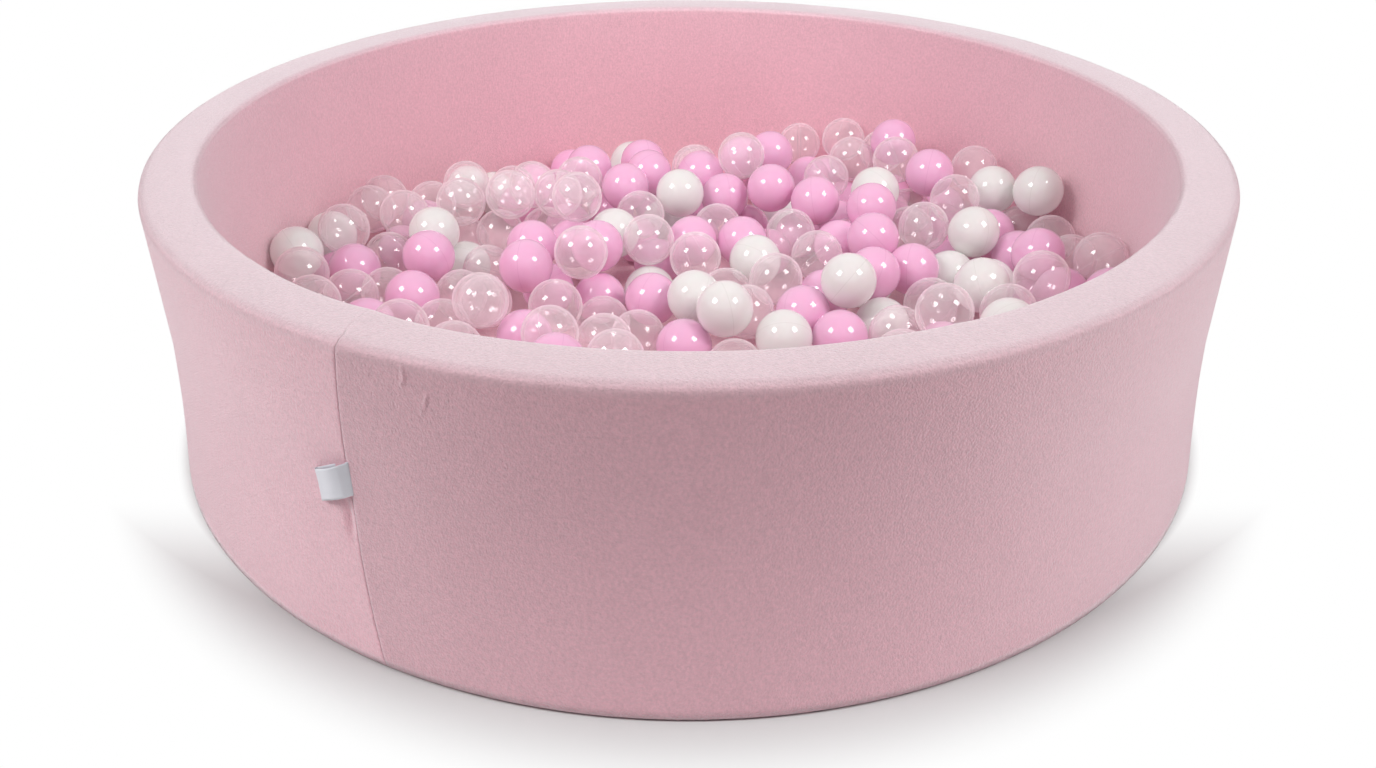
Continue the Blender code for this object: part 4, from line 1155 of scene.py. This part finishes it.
def hides_seen(place, seen_places, seen_depths, eye):
    """True where a ball at this place would stand before one that the photograph shows."""
    offset = place - eye
    depth = np.linalg.norm(offset)
    seen_directions = (seen_places - eye) / seen_depths[:, None]
    spread = np.linalg.norm(seen_directions - offset / depth, axis=1) * seen_depths
    return bool(np.any((spread < 2 * BALL_RADIUS * SIDEWAYS_SHARE) & (depth < seen_depths)))


def fill_balls(seen):
    """Balls of the top layer that the wall hides in the photograph, dropped in by a seeded rule."""
    seen_places = np.array([place for place, name in seen])
    seen_depths = np.linalg.norm(seen_places - eye, axis=1)
    chance = random.Random(FILL_SEED)
    places = list(seen_places)
    added = []
    for turn in range(FILL_TRIES):
        across, along = draw_spot(chance)
        height = heap_height(across, along) - FILL_DROP * chance.random()
        place = np.array([across, along, max(height, LOWEST_CENTRE)])
        if np.min(np.linalg.norm(np.array(places) - place, axis=1)) < BALL_SPACING:
            continue
        if hides_seen(place, seen_places, seen_depths, eye):
            continue
        places.append(place)
        added.append((place, draw_colour(chance, FILL_COLOUR_SHARES)))
    return added


def behind_front_wall(places):
    """True where the rim of the front wall hides the whole ball from the camera."""
    tops = places + np.array([0, 0, BALL_RADIUS * SIGHT_MARGIN_SHARE])
    share = (HEIGHT - tops[:, 2]) / (eye[2] - tops[:, 2])
    crossing = tops + share[:, None] * (eye - tops)
    return np.hypot(crossing[:, 0], crossing[:, 1]) > INNER_RADIUS


def buried_candidates(seen_places, loose_places):
    """Grid places that hide no seen ball and stay off the loose balls' way up.

    They lie under the heap's surface, and behind the front wall they may also nestle in the gaps
    of the lowest layer.
    """
    steps = np.arange(-BALL_REACH, BALL_REACH, BURIED_STEP)
    found = []
    for across in steps:
        for along in steps:
            if math.hypot(across, along) > BALL_REACH:
                continue
            ceiling = max(heap_height(across, along) - BURIED_COVER, LOWEST_CENTRE + NESTLE_RISE)
            for height in steps_between(LOWEST_CENTRE, ceiling, BURIED_STEP):
                found.append((across, along, height))
    found = np.array(found)
    cover = np.array([heap_height(*place[:2]) for place in found]) - found[:, 2]
    unseen = behind_front_wall(found)
    covered = unseen | (cover >= BURIED_COVER)
    found = found[covered]
    unseen = unseen[covered]
    for place in seen_places:
        offset = found - eye
        depth = np.linalg.norm(offset, axis=1)
        seen_depth = np.linalg.norm(place - eye)
        aside = offset / depth[:, None] - (place - eye) / seen_depth
        spread = np.linalg.norm(aside, axis=1) * seen_depth
        kept = unseen | (spread >= 2 * BALL_RADIUS * SIDEWAYS_SHARE) | (depth >= seen_depth)
        found = found[kept]
        unseen = unseen[kept]
    for place in loose_places:
        beside = np.hypot(found[:, 0] - place[0], found[:, 1] - place[1]) < BALL_SPACING
        found = found[~(beside & (found[:, 2] > place[2] - BALL_RADIUS))]
    return found


def buried_balls(top, seen_places, loose_places):
    """Balls packed one by one into the depth of the heap, each as low and as snug as it can lie."""
    chance = random.Random(BURIED_SEED)
    places = buried_candidates(seen_places, loose_places)
    nearest = np.full(len(places), 4 * BALL_SPACING)
    for place, name in top:
        nearest = np.minimum(nearest, np.linalg.norm(places - place, axis=1))
    added = []
    while len(added) < BURIED_LIMIT:
        open_places = nearest >= BALL_SPACING
        if not open_places.any():
            break
        score = np.where(open_places, places[:, 2] + SNUG_SHARE * nearest, np.inf)
        place = places[int(np.argmin(score))]
        nearest = np.minimum(nearest, np.linalg.norm(places - place, axis=1))
        near_top = place[2] > heap_height(place[0], place[1]) - BALL_RADIUS
        shares = FILL_COLOUR_SHARES if near_top else BURIED_COLOUR_SHARES
        added.append((place, draw_colour(chance, shares)))
    return added


def shows_above_heap(place, seen_places):
    """True where a hidden ball would stand out above the heap that the photograph shows."""
    upwards = np.array([0, math.sin(CAMERA_PITCH), math.cos(CAMERA_PITCH)])
    forwards = np.array([0, math.cos(CAMERA_PITCH), -math.sin(CAMERA_PITCH)])
    offsets = np.array([place, *seen_places]) - eye
    depths = offsets @ forwards
    across = offsets[:, 0] / depths
    up = offsets @ upwards / depths
    reach = BALL_RADIUS / depths[0]
    beside = np.abs(across[1:] - across[0]) < reach
    return bool(beside.any()) and up[0] > up[1:][beside].max() + OUTLINE_SHARE * reach


seen_places = [place for place, name in seen]
filled = [row for row in fill_balls(seen) if not shows_above_heap(row[0], seen_places)]
top_layer = seen + filled
loose_nodes = sorted(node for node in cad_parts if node.startswith("loose_"))
loose_places = [np.array(sum(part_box(node), Vector()) / 2) for node in loose_nodes]
buried = [row for row in buried_balls(top_layer, seen_places, loose_places)
          if not shows_above_heap(row[0], seen_places)]
print("top layer", len(top_layer), "buried", len(buried))

# %% [markdown]
# ## Ball plastics
# Blow-moulded polyethylene is smooth and waxy. Light enters the thin shell a little way and comes
# out softened, and the two halves of the mould leave a hair-thin line round each ball. The pink and
# white balls also carry painted light: a faint glow of their own, and an edge painted paler where
# the eye skims along them. The clear balls are only shells: most light goes straight through, their
# edges turn milky, and they carry the soft boxes four times, on the near skin and again inside the
# far one. Their milky veil is tinted pink as a painted reflection of the pink around them.

# %% Ball materials
MOULD_LINE = 0.0003
MOULD_LINE_LIFT = 0.6
# Painted rim light: how much paler an opaque ball is painted towards its outline
PAINTED_RIM_LIGHT_SHARE = 0.30
SKIN_RIPPLE = 0.012
# How strongly a clear ball mirrors face on, and how much more it does at its edge
MIRROR_SHARES = (0.045, 0.90)
# How milky a clear ball is face on, its milkiest slant, and what its mould line adds
VEIL_SHARE = 0.145
LEAST_SLANT = 0.14
LINE_VEIL = 0.25


def ball_skin(tree):
    """The mould's parting line, 1 on it and 0 away from it, and the skin's slight unevenness."""
    place = add_node(tree, "ShaderNodeAttribute", attribute_name="ball_place").outputs["Vector"]
    gap = maths(tree, "ABSOLUTE", add_node(tree, "ShaderNodeSeparateXYZ", Vector=place).outputs["Z"])
    line = map_range(tree, gap, (MOULD_LINE / 2, MOULD_LINE * 1.5), (1.0, 0.0), "SMOOTHSTEP")
    ripple = noise_field(tree, place, SKIN_RIPPLE, 1.0)
    height = maths(tree, "MULTIPLY_ADD", line, MOULD_LINE_LIFT, ripple)
    return line, bump(tree, height, 0.035, 0.0007)


def opaque_ball_material(name, base, line_tone, rim_light_tone, glow, painted_glow):
    """Dyed polyethylene: glossy skin over a thin waxy shell, with a painted glow for the light that
    passes it from all sides and a painted paler edge.
    """
    material, tree = new_material(name)
    line, skin = ball_skin(tree)
    facing = add_node(tree, "ShaderNodeLayerWeight", Blend=0.5).outputs["Facing"]
    # Painted rim light: the colour turns paler towards the outline
    edge = maths(tree, "MULTIPLY", maths(tree, "POWER", facing, 3.0), PAINTED_RIM_LIGHT_SHARE)
    tone = mix_colours(tree, line, mix_colours(tree, edge, base, rim_light_tone), line_tone)
    # The emission is a painted glow for light passing through the shell
    return principled(material, Base_Color=tone, Normal=skin, Roughness=0.06, IOR=1.5,
                      Specular_IOR_Level=0.7, Subsurface_Weight=glow,
                      Subsurface_Radius=(1.0, 0.45, 0.7), Subsurface_Scale=0.008,
                      Emission_Color=tone, Emission_Strength=painted_glow)


def clear_ball_material():
    """Natural polyethylene blown thin: see-through, glossy, with a milky edge."""
    material, tree = new_material("clear_polyethylene")
    line, skin = ball_skin(tree)
    facing = add_node(tree, "ShaderNodeLayerWeight", Blend=0.5).outputs["Facing"]
    mirror = maths(tree, "MULTIPLY_ADD", maths(tree, "POWER", facing, 5.0),
                   MIRROR_SHARES[1], MIRROR_SHARES[0])
    slant = maths(tree, "MAXIMUM", maths(tree, "SUBTRACT", 1.0, facing), LEAST_SLANT)
    veil = maths(tree, "MULTIPLY_ADD", line, LINE_VEIL, maths(tree, "DIVIDE", VEIL_SHARE, slant))
    clear = add_node(tree, "ShaderNodeBsdfTransparent", Color=(1.0, 0.985, 0.99, 1))
    # The veil's pink tint is a painted reflection of the pink around the ball; its milkiness is the
    # plastic's own
    milky_pink_reflection = add_node(tree, "ShaderNodeBsdfDiffuse", Color=colour("#FBEDF1"))
    gloss = add_node(tree, "ShaderNodeBsdfGlossy", Color=WHITE, Roughness=0.05, Normal=skin)
    body = mix_shaders(tree, veil, clear.outputs[0], milky_pink_reflection.outputs[0])
    return show_surface(material, mix_shaders(tree, mirror, body, gloss.outputs[0]))


# Each opaque ball: base, mould line, painted rim light, subsurface share, painted glow
ball_materials = {
    "pink": opaque_ball_material("pink_polyethylene", colour("#E0A8C8"), colour("#D69BBD"),
                                 colour("#F8D3E6"), 0.25, 0.08),
    "white": opaque_ball_material("pearl_polyethylene", colour("#D2CECC"), colour("#C8C3C0"),
                                  colour("#F8ECEE"), 0.15, 0.16),
    "clear": clear_ball_material(),
}
print("ball materials", [material.name for material in ball_materials.values()])

# %% [markdown]
# ## Geometry Nodes for the balls
# One tree makes every group of balls: a vertex becomes a ball, turned at random so that the mould
# lines point everywhere. Each ball remembers its own unturned place in an attribute, which the
# material reads for the mould line. The balls fill the picture, so those of the top layer and the
# imported ones have 1,280 faces each, and the buried ones, of which little shows, 320.

# %% Helpers for Geometry Nodes
def new_node_tree(name, inputs):
    """A geometry tree with named inputs, what they give, and the node for its output."""
    tree = bpy.data.node_groups.new(name, "GeometryNodeTree")
    tree.interface.new_socket("Geometry", in_out="INPUT", socket_type="NodeSocketGeometry")
    for title, kind in inputs:
        tree.interface.new_socket(title, in_out="INPUT", socket_type=f"NodeSocket{kind}")
    tree.interface.new_socket("Geometry", in_out="OUTPUT", socket_type="NodeSocketGeometry")
    return tree, tree.nodes.new("NodeGroupInput").outputs, tree.nodes.new("NodeGroupOutput")


def grow(name, tree, places, values):
    """Run a tree on loose points and return the result as a plain mesh piece."""
    mesh = bpy.data.meshes.new(name)
    mesh.from_pydata([tuple(place) for place in places], [], [])
    item = add_piece(name, mesh, None)
    modifier = item.modifiers.new("Grow", "NODES")
    modifier.node_group = tree
    for socket in tree.interface.items_tree:
        if socket.in_out == "INPUT" and socket.name in values:
            modifier[socket.identifier] = values[socket.name]
    return settle_modifiers(item)


# %% Tree of balls
VISIBLE_SUBDIVISIONS = 4
BURIED_SUBDIVISIONS = 3
# Seeds for how the balls are turned: the separate ones count up from 0
BED_SEED = 100
BURIED_TURN_SEED = 200


def dress_instances(tree, result, points, shape, rotation, given, smooth):
    """Finish a tree: a turned shape on every point, made real mesh and given the material."""
    spread = add_node(tree, "GeometryNodeInstanceOnPoints", Points=points, Instance=shape,
                      Rotation=add_node(tree, "FunctionNodeEulerToRotation", Euler=rotation).outputs[0])
    solid = add_node(tree, "GeometryNodeRealizeInstances", Geometry=spread.outputs[0])
    if smooth:
        solid = add_node(tree, "GeometryNodeSetShadeSmooth", Geometry=solid.outputs[0])
    dressed = add_node(tree, "GeometryNodeSetMaterial", Geometry=solid.outputs[0],
                       Material=given["Material"])
    tree.links.new(dressed.outputs[0], result.inputs[0])
    return tree


def ball_tree():
    """Points to turned icospheres that remember their own places."""
    tree, given, result = new_node_tree("balls", [
        ("Ball Radius", "Float"), ("Subdivisions", "Int"), ("Seed", "Int"), ("Material", "Material")])
    ball = add_node(tree, "GeometryNodeMeshIcoSphere", Radius=given["Ball Radius"],
                    Subdivisions=given["Subdivisions"])
    place = add_node(tree, "GeometryNodeInputPosition").outputs[0]
    kept = add_node(tree, "GeometryNodeStoreNamedAttribute", data_type="FLOAT_VECTOR", domain="POINT",
                    Name="ball_place", Geometry=ball.outputs["Mesh"], Value=place)
    turn = add_node(tree, "FunctionNodeRandomValue", data_type="FLOAT_VECTOR", _0=(0, 0, 0),
                    _1=(FULL_TURN, FULL_TURN, FULL_TURN), Seed=given["Seed"])
    return dress_instances(tree, result, given["Geometry"], kept.outputs[0], turn.outputs[0], given, True)


balls_tree = ball_tree()
print("tree", balls_tree.name, "with", len(balls_tree.nodes), "nodes")


def grow_balls(name, places, kind, subdivisions, seed):
    """A group of balls of one colour as one piece."""
    return grow(name, balls_tree, places, {
        "Ball Radius": BALL_RADIUS, "Subdivisions": subdivisions, "Seed": seed,
        "Material": ball_materials[kind]})


# %% Balls that are pieces of their own
separate_nodes = sorted(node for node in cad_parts
                        if "_ball_" in node and node != "ball_bed")
separate = []
largest_drift = 0.0
for index, node in enumerate(separate_nodes):
    low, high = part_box(node)
    centre = (low + high) / 2
    gaps = [np.linalg.norm(place - np.array(centre)) for place, kind in top_layer]
    nearest = int(np.argmin(gaps))
    largest_drift = max(largest_drift, gaps[nearest])
    separate.append(nearest)
    kind = node.replace("loose_", "").split("_")[0]
    shell = grow_balls(f"shell_{node}", [top_layer[nearest][0]], kind, VISIBLE_SUBDIVISIONS, index)
    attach(shell, node if node.startswith("loose_") else "ball_heap")
    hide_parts(node)
drift = round(largest_drift * 1000, 2)
print("separate balls", len(separate), "largest difference of place", drift, "mm")

# %% Balls of the bed
for seed, kind in enumerate(("pink", "white", "clear")):
    places = [place for index, (place, name) in enumerate(top_layer)
              if name == kind and index not in separate]
    heap = grow_balls(f"heap_{kind}_balls", places, kind, VISIBLE_SUBDIVISIONS, BED_SEED + seed)
    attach(heap, "ball_heap")
    if kind == "pink":
        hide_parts("ball_bed")
    print(kind, "in the bed", len(places), "faces", len(heap.data.polygons))

# %% Buried balls
for seed, kind in enumerate(("pink", "white", "clear")):
    places = [place for place, name in buried if name == kind]
    deep = grow_balls(f"buried_{kind}_balls", places, kind, BURIED_SUBDIVISIONS,
                      BURIED_TURN_SEED + seed)
    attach(deep, "ball_heap")
    print(kind, "packed", len(places), "faces", len(deep.data.polygons))

# %% [markdown]
# ## The zip
# A nylon coil zip runs round the back of the underside, so that the cover comes off for washing.
# Two woven tapes carry the two halves of the coil. The teeth repeat every 2 mm along an arc, which
# is work for Geometry Nodes: the same tree also lays the stitches that hold the tapes.

# %% Zip materials
TAPE_PITCH = 0.0012
NYLON_FLOW = 0.004
RUB_MARK = 0.0015


def plain_plastic(name, base, roughness):
    """Nylon or polyester of one colour, smooth with a faint unevenness in its gloss."""
    material, tree = new_material(name)
    flow = noise_field(tree, object_place(tree), NYLON_FLOW, 2.0)
    gloss = map_range(tree, flow, target=(roughness - 0.06, roughness + 0.08))
    return principled(material, Base_Color=base, Roughness=gloss)


def plated_metal():
    """Nickel-plated zinc: grey, fairly bright, with fine rub marks from handling."""
    material, tree = new_material("nickel_plated_zinc")
    scratches = noise_field(tree, object_place(tree), RUB_MARK, 4.0)
    return principled(material, Base_Color=colour("#C9C9CB"), Metallic=1.0,
                      Roughness=map_range(tree, scratches, target=(0.22, 0.42)),
                      Normal=bump(tree, scratches, 0.1, 0.0001))


tape_cloth = woven_material("woven_zip_tape", colour("#DCB6C1"), TAPE_PITCH, 0.75)
nylon = plain_plastic("nylon_coil", colour("#E2C5CE"), 0.40)
thread = plain_plastic("polyester_thread", colour("#E8CBD4"), 0.55)
metal = plated_metal()
print("zip materials", [material.name for material in (tape_cloth, nylon, thread, metal)])

# %% Tree of small parts along an arc
def arc_tree():
    """Short bars set along an arc: Tilt (radians) lays each bar across or along the arc."""
    tree, given, result = new_node_tree("bars_on_arc", [
        ("Radius", "Float"), ("Start", "Float"), ("Step", "Float"), ("Count", "Int"),
        ("Height", "Float"), ("Bar Radius", "Float"), ("Bar Length", "Float"), ("Tilt", "Vector"),
        ("Material", "Material")])
    index = add_node(tree, "GeometryNodeInputIndex").outputs[0]
    azimuth = maths(tree, "MULTIPLY_ADD", index, given["Step"], given["Start"])
    across = maths(tree, "MULTIPLY", maths(tree, "COSINE", azimuth), given["Radius"])
    along = maths(tree, "MULTIPLY", maths(tree, "SINE", azimuth), given["Radius"])
    place = add_node(tree, "ShaderNodeCombineXYZ", X=across, Y=along, Z=given["Height"])
    points = add_node(tree, "GeometryNodePoints", Count=given["Count"], Position=place.outputs[0])
    bar = add_node(tree, "GeometryNodeMeshCylinder", Vertices=6, Radius=given["Bar Radius"],
                   Depth=given["Bar Length"])
    spin = add_node(tree, "ShaderNodeCombineXYZ", Z=azimuth)
    turn = add_node(tree, "ShaderNodeVectorMath", operation="ADD", _0=given["Tilt"], _1=spin.outputs[0])
    return dress_instances(tree, result, points.outputs[0], bar.outputs["Mesh"], turn.outputs[0],
                           given, False)


bars_tree = arc_tree()
print("tree", bars_tree.name, "with", len(bars_tree.nodes), "nodes")

# %% Coil, tapes and stitches
TOOTH_PITCH = 0.0020
TOOTH_SLIMNESS = 0.9
TAPE_STEPS = 120
TAPE_END_GAP = 0.003
STITCH_PITCH = 0.0040
STITCH_INSET = 0.003
STITCH_RADIUS = 0.0002
STITCH_LENGTH = 0.0028
ACROSS = (0.0, math.pi / 2, 0.0)
ALONG = (math.pi / 2, 0.0, 0.0)


def bars_along(name, radius, pitch, height, bar_radius, bar_length, tilt, material):
    """Bars at an even pitch along the zip's arc."""
    step = pitch / radius
    count = int((ZIP_END - ZIP_START) / step)
    return grow(name, bars_tree, [(0, 0, 0)], {
        "Radius": radius, "Start": ZIP_START + step, "Step": step, "Count": count, "Height": height,
        "Bar Radius": bar_radius, "Bar Length": bar_length, "Tilt": tilt, "Material": material})


for side, sign in (("inner", -1), ("outer", 1)):
    coil = bars_along(f"coil_{side}", ZIP_RADIUS + sign * (CHAIN_GAP + CHAIN_WIDTH) / 2, TOOTH_PITCH,
                      TAPE_MIDDLE, CHAIN_HEIGHT / 2 * TOOTH_SLIMNESS, CHAIN_WIDTH, ACROSS, nylon)
    edge = ZIP_RADIUS + sign * (CHAIN_GAP / 2 + CHAIN_WIDTH + CLEARANCE)
    inner, outer = sorted((edge, edge + sign * TAPE_WIDTH))
    low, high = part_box(f"zip_tape_{side}")
    section = [(inner, high.z), (inner, low.z), (outer, low.z), (outer, high.z)]
    tape = closed_band(f"tape_{side}", section, ZIP_START + TAPE_END_GAP,
                       ZIP_END - ZIP_START - 2 * TAPE_END_GAP, TAPE_STEPS, tape_cloth)
    stitch_line = ZIP_RADIUS + sign * (ZIP_WINDOW / 2 + STITCH_INSET)
    stitches = bars_along(f"zip_stitches_{side}", stitch_line, STITCH_PITCH, STITCH_RADIUS,
                          STITCH_RADIUS, STITCH_LENGTH, ALONG, thread)
    for piece, node, slot in ((coil, f"zip_chain_{side}", "zip_chain"),
                              (tape, f"zip_tape_{side}", "zip_tape"), (stitches, None, "zip_tape")):
        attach(piece, "tub")
        if node:
            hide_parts(node)

# %% Slider, pull and stops
for node in ("zip_slider", "zip_pull_tab", "zip_stop_closed", "zip_stop_open"):
    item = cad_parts[node]
    item.data.materials.clear()
    item.data.materials.append(metal)
print("metal parts take the plated finish")

# %% [markdown]
# ## Bodies
# Every piece rides on the body that carries it on the real pit and stands for the imported solid in
# its place, which is hidden.

tub_pieces = [
    (sleeve, "cover_sleeve", "jersey"), (floor_panel, "cover_floor", "jersey"),
    (underside_panel, "cover_underside", "underside_cloth"), (floor_welt, "floor_seam_welt", "jersey"),
    (foot_welt, "foot_seam_welt", "jersey"), (seam_fold, "wall_seam_allowance", "jersey"),
    (foam_front, "foam_wall_front", "foam"), (foam_back, "foam_wall_back", "foam"),
    (foam_disc, "foam_floor", "foam"),
]
for piece, node, slot in tub_pieces:
    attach(piece, "tub")
    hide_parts(node)
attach(label, "label")
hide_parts("side_label")

# %% Size of the finished scene
low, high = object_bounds()
print("visual box", [round(value, 4) for value in (*low, *high)])
